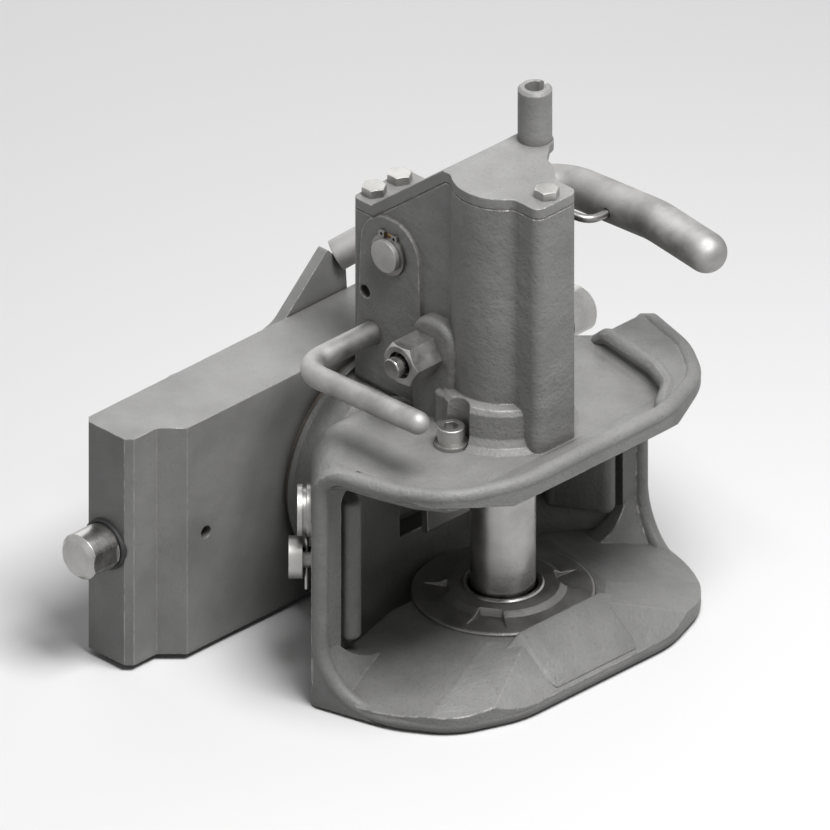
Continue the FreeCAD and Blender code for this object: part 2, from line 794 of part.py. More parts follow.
def tower():
    """Tower with its pads, before it is bored."""
    top = cover_top_z + 10
    mass = tower_mass(dish_floor_z - 12, top)
    mass = mass.cut(roof_layer(-60, cover_thickness + gasket_thickness + 60))
    pads = []
    for side in (1, -1):
        pad = prism("y", [
            (pad_rear_x, dish_floor_z - 12), (pad_rear_x, pad_top_z, 15), (pad_front_x, pad_top_z, 15),
            (pad_front_x, dish_floor_z - 12),
        ], 0, tower_radius)
        pad = rounded(pad, 4, lambda edge: abs(edge.BoundBox.YMin - tower_radius) < 0.01
                      and edge.BoundBox.ZMax > dish_floor_z)
        arch = prism("y", [
            (shaft_x - arch_radius - 6, dish_floor_z), (shaft_x + arch_radius + 4, dish_floor_z),
            (shaft_x + arch_radius, shaft_z + arch_radius, arch_radius * 0.97),
            (shaft_x - arch_radius, shaft_z + arch_radius, arch_radius * 0.97),
        ], tower_half_width - 1, tower_half_width + arch_proud)
        arch = arch.cut(roof_layer(-60, cover_thickness + gasket_thickness + 60))
        for piece in (pad, arch):
            pads.append(piece if side > 0 else piece.mirror(V(0, 0, 0), V(0, 1, 0)))
    lug_x = shaft_x - spring_mean + closing_wire / 2 + spring_lug_radius + slot_play
    lug_end = tower_half_width + arch_proud + 2 * closing_wire
    lug = drum("y", (lug_x, shaft_z - spring_lug_drop), spring_lug_radius, tower_half_width - 1, lug_end)
    pedestal = turned("z", (pin_axis_x, 0), [
        (dish_floor_z - 8, 0), (dish_floor_z - 8, 46), (dish_floor_z, 44), (dish_floor_z + 2.5, 40),
        (dish_floor_z + 7, 37.5), (dish_floor_z + 22, 37), (dish_floor_z + 25, 35),
        (dish_floor_z + 26.5, tower_radius), (dish_floor_z + 26.5, 0),
    ]).common(Part.makeBox(200, 200, 200, V(pin_axis_x - 38, -100, 0)))
    block_top = dish_floor_z + 24
    block = prism("z", mirrored([(117, 34, 4), (136, 34, 4)]), dish_floor_z - 8, block_top)
    block = rounded(block, 3, lambda edge: lies_at_z(edge, block_top))
    return join([mass, pedestal, block, lug] + pads)


def rooms(low, front_low, high):
    """Hollows of the tower for the trigger, the lift arm and the raised pin."""
    half = room_half_width
    front_half = front_room_half_width
    rooms_of_tower = [
        prism("z", mirrored([(rear_room_x, half, 3), (pin_axis_x, half)]), low, high),
        drum("z", (pin_axis_x, 0), pin_radius + pin_room_play, low, high),
        prism("z", mirrored([(pin_axis_x, front_half), (front_room_high_x, front_half, 3)]), front_low, high),
    ]
    if low < rear_room_step_z:
        rooms_of_tower.append(
            prism("z", mirrored([(rear_room_low_x, half, 3), (pin_axis_x, half)]), low, rear_room_step_z))
    if front_low < front_room_step_z:
        rooms_of_tower.append(
            prism("z", mirrored([(pin_axis_x, front_half), (front_room_x, front_half, 3)]),
                  front_low, front_room_step_z))
    return rooms_of_tower


def tower_bores():
    """Everything that is machined or cored out of the tower."""
    shaft_hole = drum("y", (shaft_x, shaft_z), shaft_radius + lever_bush_wall, -60, 60)
    trigger_hole = drum("y", (trigger_x, trigger_z), trigger_radius + shaft_fit, -60, 60)
    indicator_hole = drum("y", (indicator_x, indicator_z), indicator_spigot, -60, 0)
    bush_bore = drum("z", (pin_axis_x, 0), bush_radius, mouth_roof_z - 20, cavity_floor_z)
    slot_half = trigger_half_width + 1.5
    trigger_slot = prism("y", [
        (53, cavity_floor_z + 1), (53, 66), (62, 46), (62, 0), (100, 0), (100, cavity_floor_z + 1),
    ], -slot_half, slot_half)
    window = prism("z", mirrored([(66, flap_half_width + 3, 4), (mouth_rear_x + 8, flap_half_width + 3)]),
                   -28, mouth_roof_z + 4)
    dowel = drum("y", (53, 125), 4, -40, -tower_half_width + 3)
    bores = rooms(cavity_floor_z, front_room_floor_z, cover_top_z)
    bores += [shaft_hole, trigger_hole, indicator_hole, bush_bore, trigger_slot, window, dowel]
    for x, y in cover_bolt_places():
        bores.append(drum("z", (x, y), bolt_radius, cover_bolt_seat(x) - cover_thickness - 20, cover_top_z))
    return bores


def guide_axis(side):
    """Point on the funnel's outside where the side guide's screws pass, and their direction."""
    depth = 88.3
    return V(depth, (depth + 15) * side, 0), V(1, -side, 0).normalize()


def guide_screw_holes(side):
    """Holes through the funnel for a side guide's screw and pin."""
    foot, inward = guide_axis(side)
    holes = []
    for z, radius in ((guide_screw_z, guide_screw_radius), (guide_pin_z, guide_pin_radius)):
        holes.append(bar(foot + V(0, 0, z) - inward * 5, inward, wall_thickness + 25, radius))
    return holes


def jaw_body():
    """The whole casting: lips, funnel, neck, spindle and tower."""
    jaw = join([jaw_walls(), lower_lip(), upper_lip(), rim_bead(), neck(), tower()] + gussets())
    ring_seat = drum("z", (pin_axis_x, 0), wear_ring_radius + 0.2, wear_ring_floor_z, mouth_floor_z + 2)
    bush_seat = drum("z", (pin_axis_x, 0), bush_radius, jaw_bottom_z - 1, mouth_floor_z)
    cuts = tower_bores() + [ring_seat, bush_seat]
    for side in (1, -1):
        cuts += guide_screw_holes(side)
    cuts.append(drum("z", cap_screw_place, 5.0, mouth_roof_z - 10, rim_top_z + 10))
    cuts.append(drum("z", cap_screw_place, 10.6, dish_floor_z, rim_top_z + 20))
    cuts += corner_cuts()
    return jaw.cut(cuts)


# Mouth furniture

def wear_ring():
    """Replaceable ring in the lower lip, coned up to the bush, with four pockets."""
    body = turned("z", (pin_axis_x, 0), [
        (wear_ring_floor_z, bush_radius + 0.2), (wear_ring_floor_z, wear_ring_radius),
        (mouth_floor_z, wear_ring_radius), (mouth_floor_z + 1, wear_ring_radius - 2),
        (lower_bush_top_z, bush_radius + 0.2),
    ])
    pockets = []
    for turn in (60, 140, -60, -140):
        pocket = prism("z", [(30, -9, 3), (46, -13, 4), (46, 13, 4), (30, 9, 3)], mouth_floor_z, 0)
        pocket.rotate(V(0, 0, 0), V(0, 0, 1), turn)
        pocket.translate(V(pin_axis_x, 0, 0))
        pockets.append(pocket)
    ramp = beyond(V(191.4, 0, mouth_floor_z), V(0.624, 0, 0.781))
    return body.cut(pockets + [ramp])


def lower_bush():
    """Bush that the pin's foot drops into."""
    inner = pin_radius + lower_bush_play
    low = jaw_bottom_z + 4
    return turned("z", (pin_axis_x, 0), [
        (low, inner), (low, bush_radius), (lower_bush_top_z - 1, bush_radius), (lower_bush_top_z, bush_radius - 1),
        (lower_bush_top_z, inner + 1.5), (lower_bush_top_z - 1.5, inner),
    ])


def upper_bush():
    """Guide bush of the pin in the tower's foot."""
    inner = pin_radius + guide_clearance
    return ring("z", (pin_axis_x, 0), bush_radius, inner, mouth_roof_z, cavity_floor_z)


def side_guide():
    """Guide plate of the +Y side, standing in the mouth and seated on the funnel."""
    half = guide_thickness / 2
    plan = [
        (89.5, 90), (92.5, 79.5, 4), (99, 84, 8), (128.0, 100.6, half * 0.98),
        (122.4, 112.4, half * 0.98), (96, 98, 4), (90, 96),
    ]
    plate = prism("z", plan, guide_low_z, guide_high_z)
    plate = rounded(plate, half * 0.6, lambda edge: lies_at_z(edge, guide_low_z) or lies_at_z(edge, guide_high_z))
    drop = wall_thickness * math.sqrt(2)
    face_point = V(mouth_rear_x, mouth_rear_x + 15 - drop, 0)
    outside = beyond(face_point, V(-1, 1, 0))
    foot, inward = guide_axis(1)
    holes = []
    for z, radius in ((guide_screw_z, guide_screw_radius), (guide_pin_z, guide_pin_radius)):
        holes.append(bar(foot + V(0, 0, z), inward, wall_thickness + guide_hold, radius))
    return plate.cut([outside] + holes)


def guide_screw():
    """Screw with a low round head that holds a side guide."""
    foot, inward = guide_axis(1)
    seat = foot + V(0, 0, guide_screw_z) - inward * (guide_washer_thickness * 2)
    head = bar(seat - inward * 3, inward, 3, 15)
    shank = bar(seat, inward, guide_washer_thickness * 2 + wall_thickness + guide_hold, guide_screw_radius)
    return join([head, shank])


def guide_washers():
    """Plain and spring washer under the side guide's screw."""
    foot, inward = guide_axis(1)
    seat = foot + V(0, 0, guide_screw_z)
    washers = []
    for step, radius in ((1, 15.5), (2, 13.5)):
        start = seat - inward * (guide_washer_thickness * step)
        disc = bar(start, inward, guide_washer_thickness, radius)
        washers.append(disc.cut(bar(start - inward, inward, guide_washer_thickness + 2, guide_screw_radius)))
    return Part.Compound(washers)


def guide_pin():
    """Locating pin of a side guide, with a drum head and a hole for its split pin."""
    foot, inward = guide_axis(1)
    seat = foot + V(0, 0, guide_pin_z)
    head = bar(seat - inward * 13, inward, 8, 12.4)
    shank = bar(seat - inward * 6, inward, 6 + wall_thickness + guide_hold, guide_pin_radius)
    hole = drum("z", split_pin_place(), split_pin_radius + split_pin_spread + 0.1, -40, 40)
    return join([head, shank]).cut(hole)


def split_pin_place():
    """Where the split pin passes through the guide pin, in plan."""
    foot, inward = guide_axis(1)
    place = foot - inward * 2.6
    return (place.x, place.y)


def split_pin():
    """Split pin down through the guide pin, with its eye above and its legs below."""
    x, y = split_pin_place()
    inward = guide_axis(1)[1]
    across = V(inward.y, -inward.x, 0)
    neck_z = guide_pin_z + guide_pin_radius + 1
    half = [
        (split_pin_spread, guide_pin_z - split_pin_leg, 0), (split_pin_spread, neck_z, 2),
        (3.4, neck_z + 2.5, 2), (3.4, neck_z + 7.0, 3),
    ]
    path = []
    radii = []
    for side, corners in ((-1, half), (1, half[::-1])):
        for reach, z, radius in corners:
            path.append(V(x, y, z) + across * (reach * side))
            radii.append(radius)
    return rod(path, radii, split_pin_radius)


# Coupling pin and lift gear

def coupling_pin():
    """Round pin with a slotted head for the lift arm."""
    body = turned("z", (pin_axis_x, 0), [
        (pin_foot_z, 0), (pin_foot_z, pin_radius - pin_chamfer), (pin_foot_z + pin_chamfer * 1.5, pin_radius),
        (pin_top_z - 1, pin_radius), (pin_top_z, pin_radius - 1), (pin_top_z, 0),
    ])
    half = arm_thickness / 2 + 0.35
    slot = Part.makeBox(100, half * 2, 100, V(pin_axis_x - 50, -half, pin_slot_z))
    hole = drum("y", (pin_axis_x, cross_pin_z), cross_pin_radius, -30, 30)
    return body.cut([slot, hole])


def cross_pin():
    """Pin across the coupling pin's head that the cam slot carries."""
    return drum("y", (pin_axis_x, cross_pin_z), cross_pin_radius, -pin_radius + 1, pin_radius - 1)


def lift_arm():
    """Arm with its cam slot, and the ratchet disc that the pawl drops into."""
    half = arm_thickness / 2
    tip_x = math.hypot(arm_length, low_drop) + cross_pin_radius + arm_tip_wall
    arm = prism("y", [
        (0, -17), (48, -arm_half_height, 30), (tip_x, -arm_half_height, arm_half_height * 0.98),
        (tip_x, arm_half_height, arm_half_height * 0.98), (48, arm_half_height, 30), (0, 17),
    ], -half, half)
    hub = drum("y", (0, 0), 17, -half, half)
    slot = slot_solid(slot_centres(), cross_pin_radius + slot_play, half + 1)
    body = join([arm, hub]).cut(slot)
    body.rotate(V(0, 0, 0), V(0, 1, 0), math.degrees(low_angle))
    body.translate(V(shaft_x, 0, shaft_z))
    ratchet = drum("y", (shaft_x, shaft_z), ratchet_radius, -half - ratchet_thickness, -half)
    spacer = drum("y", (shaft_x, shaft_z), 15, half, half + ratchet_thickness)
    notch = prism("y", [
        (pawl_tip_radius - 4.3, -2.8), (pawl_tip_radius + 8, -2.8),
        (pawl_tip_radius + 8, 6), (pawl_tip_radius - 4.3, 6),
    ], -half - ratchet_thickness - 1, -half)
    notch.rotate(V(0, 0, 0), V(0, 1, 0), pawl_angle + math.degrees(lift_turn))
    notch.translate(V(shaft_x, 0, shaft_z))
    body = join([body, ratchet.cut(notch), spacer])
    return body.cut(drum("y", (shaft_x, shaft_z), shaft_radius, -30, 30))


def slot_centres():
    """Places of the cross pin in the arm's frame, from pin down to pin up."""
    rate = lift_height / lift_turn
    steps = 16
    over = math.radians(1.5)
    centres = []
    for i in range(steps + 1):
        angle = -low_angle - over + (lift_turn + 2 * over) * i / steps
        height = -low_drop + rate * (angle + low_angle)
        centres.append(V(arm_length * math.cos(angle) + height * math.sin(angle), 0,
                         -arm_length * math.sin(angle) + height * math.cos(angle)))
    return centres


def slot_solid(centres, width, half):
    """Slot along the centres, as wide as the pin with its play."""
    runs = []
    for centre in centres:
        runs.append(drum("y", (centre.x, centre.z), width, -half, half))
    for start, end in zip(centres, centres[1:]):
        across = (end - start).cross(V(0, 1, 0)).normalize() * width
        corners = [start + across, end + across, end - across, start - across]
        runs.append(prism("y", [(corner.x, corner.z) for corner in corners], -half, half))
    return runs[0].fuse(runs[1:])


def lever_bush():
    """Bush of the hand lever's shaft in the +Y wall."""
    return ring("y", (shaft_x, shaft_z), shaft_radius + lever_bush_wall, shaft_radius + shaft_fit,
                room_half_width, tower_half_width + arch_proud)


def hand_lever():
    """Shaft with a circlip groove, an elbow and the long bent handle."""
    clip_high = -tower_half_width - arch_proud - 0.3
    shaft = drum("y", (shaft_x, shaft_z), shaft_radius, clip_high - 5, lever_y - lever_bend)
    shaft = shaft.cut(groove("y", (shaft_x, shaft_z), shaft_radius, clip_high - 1.8, clip_high))
    start = V(shaft_x, lever_y - lever_bend - 4, shaft_z)
    end = V(202, lever_y, 159.3)
    handle = rod([
        start, V(shaft_x, lever_y, shaft_z), V(162, lever_y, 164), end,
    ], [0, lever_bend, 60, 0], lever_radius)
    ball = Part.makeSphere(lever_radius, end)
    hole = bar(V(link_hole_x, lever_y - 20, link_hole_z), V(0, 1, 0), 40, closing_wire / 2 + 0.4)
    return join([shaft, handle, ball]).cut(hole)


def closing_spring():
    """Torsion spring around the lever's shaft, with a leg in the handle and a leg on the tower."""
    mean = spring_mean
    low = tower_half_width + arch_proud + 3
    high = low + closing_wire * 7
    coil = coil_sleeve("y", (shaft_x, shaft_z), mean, closing_wire, low, high)
    wire = closing_wire / 2
    leg = rod([
        V(shaft_x, high - wire, shaft_z - mean), V(link_hole_x, lever_y - 26, link_hole_z),
        V(link_hole_x, lever_y, link_hole_z),
    ], [0, 10, 0], wire)
    foot = bar(V(shaft_x - mean, low + wire, shaft_z), V(0, 0, -1), 30, wire)
    return join([coil, leg, foot])


# Trigger, pawl and closing handle

def trigger():
    """Lever in the tower: its flap hangs in the mouth and its pawl reaches the ratchet."""
    hub = drum("y", (trigger_x, trigger_z), 12, -trigger_half_width, trigger_half_width)
    stem = prism("y", [
        (trigger_x - 8, trigger_z - 4), (trigger_x + 9, trigger_z), (82, 60, 20), (93, 34), (84, 34), (70, 58, 20),
    ], -trigger_half_width, trigger_half_width)
    flap = prism("y", [
        (84, 38), (93, 38), (99, 8, 30), (100, -19, 2), (95.5, -19, 2), (94, 6, 30),
    ], -flap_half_width, flap_half_width)
    half = arm_thickness / 2
    tip = math.radians(pawl_angle)
    tip_x = shaft_x + pawl_tip_radius * math.cos(tip)
    tip_z = shaft_z - pawl_tip_radius * math.sin(tip)
    pawl = prism("y", [
        (trigger_x - 4, trigger_z + 6), (trigger_x + 11, trigger_z), (tip_x + 8, tip_z - 7, 4),
        (tip_x + 4.2, tip_z + 3), (tip_x - 1.5, tip_z - 2.2), (tip_x - 4, tip_z - 8),
    ], -half - ratchet_thickness + 0.5, -half - 1)
    round_disc = drum("y", (shaft_x, shaft_z), pawl_tip_radius, -20, 20)
    body = join([hub, stem, flap, pawl]).cut(round_disc)
    return body.cut(drum("y", (trigger_x, trigger_z), trigger_radius, -30, 30))


def closing_handle():
    """Bent rod: the trigger's shaft, with its handle on the -Y side."""
    far = tower_half_width + 8
    end = V(handle_end_x, handle_corner_y, trigger_z + 3.5)
    corner = V(trigger_x, handle_corner_y, trigger_z)
    body = rod([V(trigger_x, far, trigger_z), corner, end], [0, handle_bend, 0], trigger_radius)
    ball = Part.makeSphere(trigger_radius, end)
    clip_low = tower_half_width + arch_proud + 0.3
    return join([body, ball]).cut(groove("y", (trigger_x, trigger_z), trigger_radius, clip_low, clip_low + 1.5))


def handle_circlip():
    """Ring that keeps the closing handle's shaft in the tower."""
    low = tower_half_width + arch_proud + 0.3
    return circlip("y", (trigger_x, trigger_z), trigger_radius, low, low + 1.5)


def lever_circlip():
    """Ring that keeps the hand lever's shaft in the tower."""
    high = -tower_half_width - arch_proud - 0.3
    return circlip("y", (shaft_x, shaft_z), shaft_radius, high - 1.8, high)


# Indicator

def indicator_housing():
    """Hexagon bush screwed into the tower's pad."""
    base = -tower_radius
    front = base - indicator_length
    body = hexagon("y", (indicator_x, indicator_z), indicator_flats, front, base)
    crown = turned("y", (indicator_x, indicator_z), [
        (front, 0), (front, indicator_flats / 2 - 0.5), (front + 2, indicator_flats / 2 + 2.5),
        (base, indicator_flats / 2 + 2.5), (base, 0),
    ])
    spigot = drum("y", (indicator_x, indicator_z), indicator_spigot, base, indicator_inner_y)
    wide = drum("y", (indicator_x, indicator_z), indicator_pin_radius + 2, front - 1, base - 4)
    guide = drum("y", (indicator_x, indicator_z), indicator_pin_radius + shaft_fit, front - 1, 0)
    return join([body.common(crown), spigot]).cut([wide, guide])


def indicator_pin():
    """Pin that shows whether the coupling is shut, with a collar for its spring and an inner stop."""
    front = -tower_radius - indicator_length - 6.9
    collar = indicator_inner_y + 0.3
    spring_face = -tower_radius - indicator_length + 4.7
    return turned("y", (indicator_x, indicator_z), [
        (front, 0), (front, indicator_pin_radius - 0.6), (front + 0.6, indicator_pin_radius),
        (spring_face - 1.2, indicator_pin_radius), (spring_face - 1.2, indicator_pin_radius + 1.4),
        (spring_face, indicator_pin_radius + 1.4), (spring_face, indicator_pin_radius),
        (collar, indicator_pin_radius), (collar, indicator_pin_radius + 1.5),
        (collar + 1.7, indicator_pin_radius + 1.5), (collar + 1.7, 0),
    ])


def indicator_spring():
    """Spring in the housing, round the indicator pin."""
    return coil_sleeve("y", (indicator_x, indicator_z), indicator_pin_radius + 1, 1.2,
                       -tower_radius - indicator_length + 5, -tower_radius - 4)


# Cover

def cover_plan_solid(low, high):
    """Plan of the cover: the tower's, with an ear for the cable socket on the +Y side."""
    ear = prism("z", [
        (socket_x - 14, 10), (socket_x - 13, socket_y - 4, 5), (socket_x - 10, socket_y + 9.5, 9),
        (socket_x + 9.5, socket_y + 9.5, 9), (socket_x + 11.2, socket_y + 1, 3), (pin_axis_x + 5.1, 30.6, 4),
        (pin_axis_x + 26.5, 17.2, 6), (pin_axis_x + 28, 4),
    ], low, high)
    return join([tower_mass(low, high), ear])


def tower_cover():
    """Cast cover that steps down over the lift gear."""
    cover = cover_plan_solid(100, cover_top_z + 5).common(roof_layer(0, cover_thickness))
    cuts = [drum("z", (x, y), bolt_radius, 0, 400) for x, y in cover_bolt_places()]
    cuts.append(drum("z", (socket_x, socket_y), socket_radius, 0, 400))
    return cover.cut(cuts)


def cover_gasket():
    """Gasket between tower and cover."""
    layer = tower_mass(100, cover_top_z + 5).common(roof_layer(cover_thickness, gasket_thickness))
    opening = rooms(rear_room_step_z, front_room_step_z, cover_top_z)
    holes = [drum("z", (x, y), bolt_radius, 0, 400) for x, y in cover_bolt_places()]
    return layer.cut(opening + holes)


def cover_bolt_places():
    """Plan centres of the cover's bolts: two at the low rear, one at the front."""
    return [(46.6, 10.4), (46.6, -10.4), (pin_axis_x + 35.7, 0.0)]


def cover_bolt_seat(x):
    """Height of the cover's top under a bolt."""
    return cover_low_z if x < ramp_low_x else cover_top_z


def cover_bolts():
    """Hexagon bolts of the cover."""
    bolts = []
    for x, y in cover_bolt_places():
        seat = cover_bolt_seat(x)
        head = hexagon("z", (x, y), 13, seat, seat + 5.3)
        crown = turned("z", (x, y), [
            (seat, 0), (seat, 8), (seat + 4.6, 8), (seat + 5.3, 6.2), (seat + 5.3, 0),
        ])
        shank = drum("z", (x, y), bolt_radius, seat - cover_thickness - 18, seat)
        bolts.append(join([head.common(crown), shank]))
    return Part.Compound(bolts)


def cable_socket():
    """Slotted tube that holds the remote cable's end."""
    top = cover_top_z + socket_height
    foot = cover_top_z - cover_thickness
    body = turned("z", (socket_x, socket_y), [
        (foot, socket_bore), (foot, socket_radius), (top - 1.75, socket_radius),
        (top, socket_radius - 1.75), (top, socket_bore),
    ])
    slot = Part.makeBox(4.5, 20, 14, V(socket_x - 2.25, socket_y, top - 13))
    return body.cut(slot)


# Screw on the upper lip

def cap_screw():
    """Socket screw on the upper lip."""
    x, y = cap_screw_place
    seat = dish_floor_z + 2.5
    head = drum("z", (x, y), 8, seat, seat + 10)
    head = rounded(head, 0.8, lambda edge: lies_at_z(edge, seat + 10))
    socket = hexagon("z", (x, y), 8, seat + 5, seat + 11)
    shank = drum("z", (x, y), 5, mouth_roof_z + 12, seat)
    return join([head, shank]).cut(socket)


def cap_washer():
    """Washer under the socket screw."""
    return ring("z", cap_screw_place, 10, 5, dish_floor_z, dish_floor_z + 2.5)


def mirror_y(shape):
    """Mirror image across the middle plane."""
    return shape.mirror(V(0, 0, 0), V(0, 1, 0))


def write_part(name, shape):
    """Save one piece under its name."""
    shape.exportStep("parts/" + name + ".step")


def main():
    """Build every piece and save it."""
    os.makedirs("parts", exist_ok=True)
    lever = lock_lever_plate()
    jaw = jaw_body()
    guide = side_guide()
    pieces = {
        "carrier_plate": carrier_plate(),
        "lock_bolt_right": lock_bolt(),
        "lock_bolt_left": mirror_y(lock_bolt()),
        "driver_pin_right": driver_pin(),
        "driver_pin_left": mirror_y(driver_pin()),
        "bolt_wipers": both_sides(bolt_wiper()),
        "lock_spring_right": lock_spring(),
        "lock_spring_left": mirror_y(lock_spring()),
        "lock_lever_plate": lever,
        "lever_grip": lever_grip(lever),
        "lever_washer": lever_washer(),
        "pivot_circlip": circlip("x", (0, 0), pivot_radius, lever_rear_x - 5.1, lever_rear_x - 3.3),
        "rear_cover": rear_cover(),
        "rear_cover_screws": cover_screws(),
        "swivel_bush": swivel_bush(),
        "friction_ring": friction_ring(),
        "thrust_washer": thrust_washer(),
        "spindle_nut": spindle_nut(),
        "jaw_body": jaw,
        "wear_ring": wear_ring(),
        "lower_bush": lower_bush(),
        "upper_bush": upper_bush(),
        "side_guide_right": guide,
        "side_guide_left": mirror_y(guide),
        "guide_screws": both_sides(guide_screw()),
        "guide_washers": both_sides(guide_washers()),
        "guide_pins": both_sides(guide_pin()),
        "split_pins": both_sides(split_pin()),
        "coupling_pin": coupling_pin(),
        "cross_pin": cross_pin(),
        "lift_arm": lift_arm(),
        "lever_bushes": both_sides(lever_bush()),
        "hand_lever": hand_lever(),
        "lever_circlip": lever_circlip(),
        "closing_spring": closing_spring(),
        "trigger": trigger(),
        "closing_handle": closing_handle(),
        "handle_circlip": handle_circlip(),
        "indicator_housing": indicator_housing(),
        "indicator_pin": indicator_pin(),
        "indicator_spring": indicator_spring(),
        "tower_cover": tower_cover(),
        "cover_gasket": cover_gasket(),
        "cover_bolts": cover_bolts(),
        "cable_socket": cable_socket(),
        "cap_screw": cap_screw(),
        "cap_washer": cap_washer(),
    }
    for name, shape in pieces.items():
        write_part(name, shape)
        print(name, shape.ShapeType, len(shape.Solids), round(shape.Volume), shape.isValid())


main()
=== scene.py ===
"""Looks of an automatic clevis coupling on its height-adjustable plate.

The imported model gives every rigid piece. This script adds the coil springs, the ramp between the lower
lip's creases, the roll, web and floor edge of the upper lip, and a wear ring with scooped pockets. It
finishes each piece as painted casting, painted plate, ground steel, zinc plate, bronze, rubber or fibre.
Lengths are in metres, +X out of the jaw's mouth and +Z up.
"""

import json
import math

import bmesh
import bpy
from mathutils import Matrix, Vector

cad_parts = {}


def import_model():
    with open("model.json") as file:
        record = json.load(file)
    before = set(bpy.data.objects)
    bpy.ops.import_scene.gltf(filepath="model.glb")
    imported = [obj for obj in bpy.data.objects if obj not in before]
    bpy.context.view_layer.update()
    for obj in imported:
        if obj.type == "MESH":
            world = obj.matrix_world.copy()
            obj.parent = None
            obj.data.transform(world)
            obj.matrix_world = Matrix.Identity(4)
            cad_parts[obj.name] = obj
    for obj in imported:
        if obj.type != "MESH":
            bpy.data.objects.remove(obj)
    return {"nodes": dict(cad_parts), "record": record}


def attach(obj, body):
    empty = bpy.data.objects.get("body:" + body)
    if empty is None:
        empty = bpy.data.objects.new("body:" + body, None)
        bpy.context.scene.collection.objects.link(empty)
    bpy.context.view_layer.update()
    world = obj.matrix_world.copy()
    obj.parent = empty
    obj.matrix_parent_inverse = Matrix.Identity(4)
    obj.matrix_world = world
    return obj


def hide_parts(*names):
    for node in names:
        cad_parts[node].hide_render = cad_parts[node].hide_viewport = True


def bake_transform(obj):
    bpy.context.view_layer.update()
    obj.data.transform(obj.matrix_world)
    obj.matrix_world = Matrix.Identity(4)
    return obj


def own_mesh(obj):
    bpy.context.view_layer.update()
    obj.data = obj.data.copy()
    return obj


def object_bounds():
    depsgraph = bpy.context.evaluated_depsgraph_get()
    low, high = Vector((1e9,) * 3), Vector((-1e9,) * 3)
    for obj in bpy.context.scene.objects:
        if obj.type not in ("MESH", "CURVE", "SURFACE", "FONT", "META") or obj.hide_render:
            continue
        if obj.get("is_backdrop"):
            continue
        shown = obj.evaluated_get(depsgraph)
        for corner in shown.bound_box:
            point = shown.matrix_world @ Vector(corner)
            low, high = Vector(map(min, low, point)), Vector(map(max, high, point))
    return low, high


MM = 0.001

# Camera of the drawing: parallel view from azimuth 45 and elevation 30
VIEW_AZIMUTH = 45.0
VIEW_ELEVATION = 30.0
VIEW_CENTRE = Vector((69.45, 0.0, 39.6)) * MM
VIEW_WIDTH = 477.3 * MM
VIEW_DISTANCE = 2.0

# Closing spring round the hand lever's shaft
SHAFT = Vector((73.0, 0.0, 158.0)) * MM
CLOSING_WIRE = 5.0 * MM
CLOSING_MEAN = 14.0 * MM
CLOSING_TURNS = 6.25
CLOSING_START = math.pi
CLOSING_LOW = 29.5 * MM
CLOSING_HIGH = 59.5 * MM
FOOT_TOP = Vector((0.0, -0.3, -2.5)) * MM
FOOT_END = 27.5 * MM
FOOT_BEND = 6.0 * MM
LINK_HOLE = Vector((133.0, 104.3, 162.0)) * MM
LEG_KNEE = Vector((0.0, 26.0 * MM, 0.0))
LEG_TIP = Vector((0.0, 4.0 * MM, 0.0))
LEG_BEND = 9.0 * MM

# Springs in the plate, behind the lock bolts
LOCK_WIRE = 3.0 * MM
LOCK_MEAN = 10.5 * MM
LOCK_TURNS = 7
LOCK_SEAT = 64.0 * MM
LOCK_FACE = 110.0 * MM

# Spring of the indicator
INDICATOR = Vector((108.0, 0.0, 109.4)) * MM
INDICATOR_WIRE = 1.2 * MM
INDICATOR_MEAN = 7.2 * MM
INDICATOR_TURNS = 5
INDICATOR_OUTER = -46.4 * MM
INDICATOR_INNER = -34.0 * MM

# Every wire: points in a turn and in a bend, how much closer end turns lie, and how round the wire is
COIL_STEPS = 28
BEND_STEPS = 6
CLOSED_ENDS = 0.6
WIRE_ROUNDNESS = 4

# Ramp of the lower lip: its top edge over the wear ring, its foot at the rim, and the creases beside it
RAMP_REAR_X = 187.0 * MM
RAMP_FRONT_X = 217.6 * MM
RAMP_HALF = 32.5 * MM
RAMP_TOP_Z = -43.2 * MM
RAMP_FOOT_Z = -67.8 * MM
RAMP_DEPTH = 9.0 * MM
CREASE_FLARE = 15.5 * MM
CREASE_DROP = 8.5 * MM
CREASE_ROUND = 0.9 * MM
CREASE_SHARP = 4

# Wear ring round the coupling pin, with the width and rise in mm of each step of its top
PIN_X = 141.0 * MM
RING_RADIUS = 53.0 * MM
RING_FLOOR_Z = -56.0 * MM
RING_RIM_Z = -46.9 * MM
RING_BORE = 24.2 * MM
RING_STEPS = ((1.2, 0.8), (1.8, 0.0), (13.0, 1.5), (4.0, 2.6))
RING_EDGE = 0.5 * MM
RING_SHARP = 15
RING_SIDES = 96
BORE_DEPTH = 100.0 * MM
POCKET_TURNS = (57, 128, -57, -128)
POCKET_MIDDLE = 39.0 * MM
POCKET_LENGTH = 17.0 * MM
POCKET_WIDTH = 13.0 * MM
POCKET_FLARE = 2.0
POCKET_FLOOR_Z = -46.3 * MM
POCKET_RISE = 4.5
POCKET_CUT = 30.0 * MM
RAMP_SEAM = 1.5 * MM
RAMP_CUT = 200.0 * MM

# Roll along the inner edge of the upper lip's pad, with its corners in mm
ROLL_RADIUS = 5.2 * MM
ROLL_CORNERS = (
    (114.5, 103.4, 63.2),
    (128.0, 98.8, 75.9),
    (173.4, 91.8, 75.9),
    (194.2, 82.4, 75.9),
    (208.2, 61.9, 75.6),
    (216.0, 60.9, 73.5),
)
ROLL_BEND = 6.0 * MM
ROLL_END = 4.0 * MM
ROLL_SHARP = 60

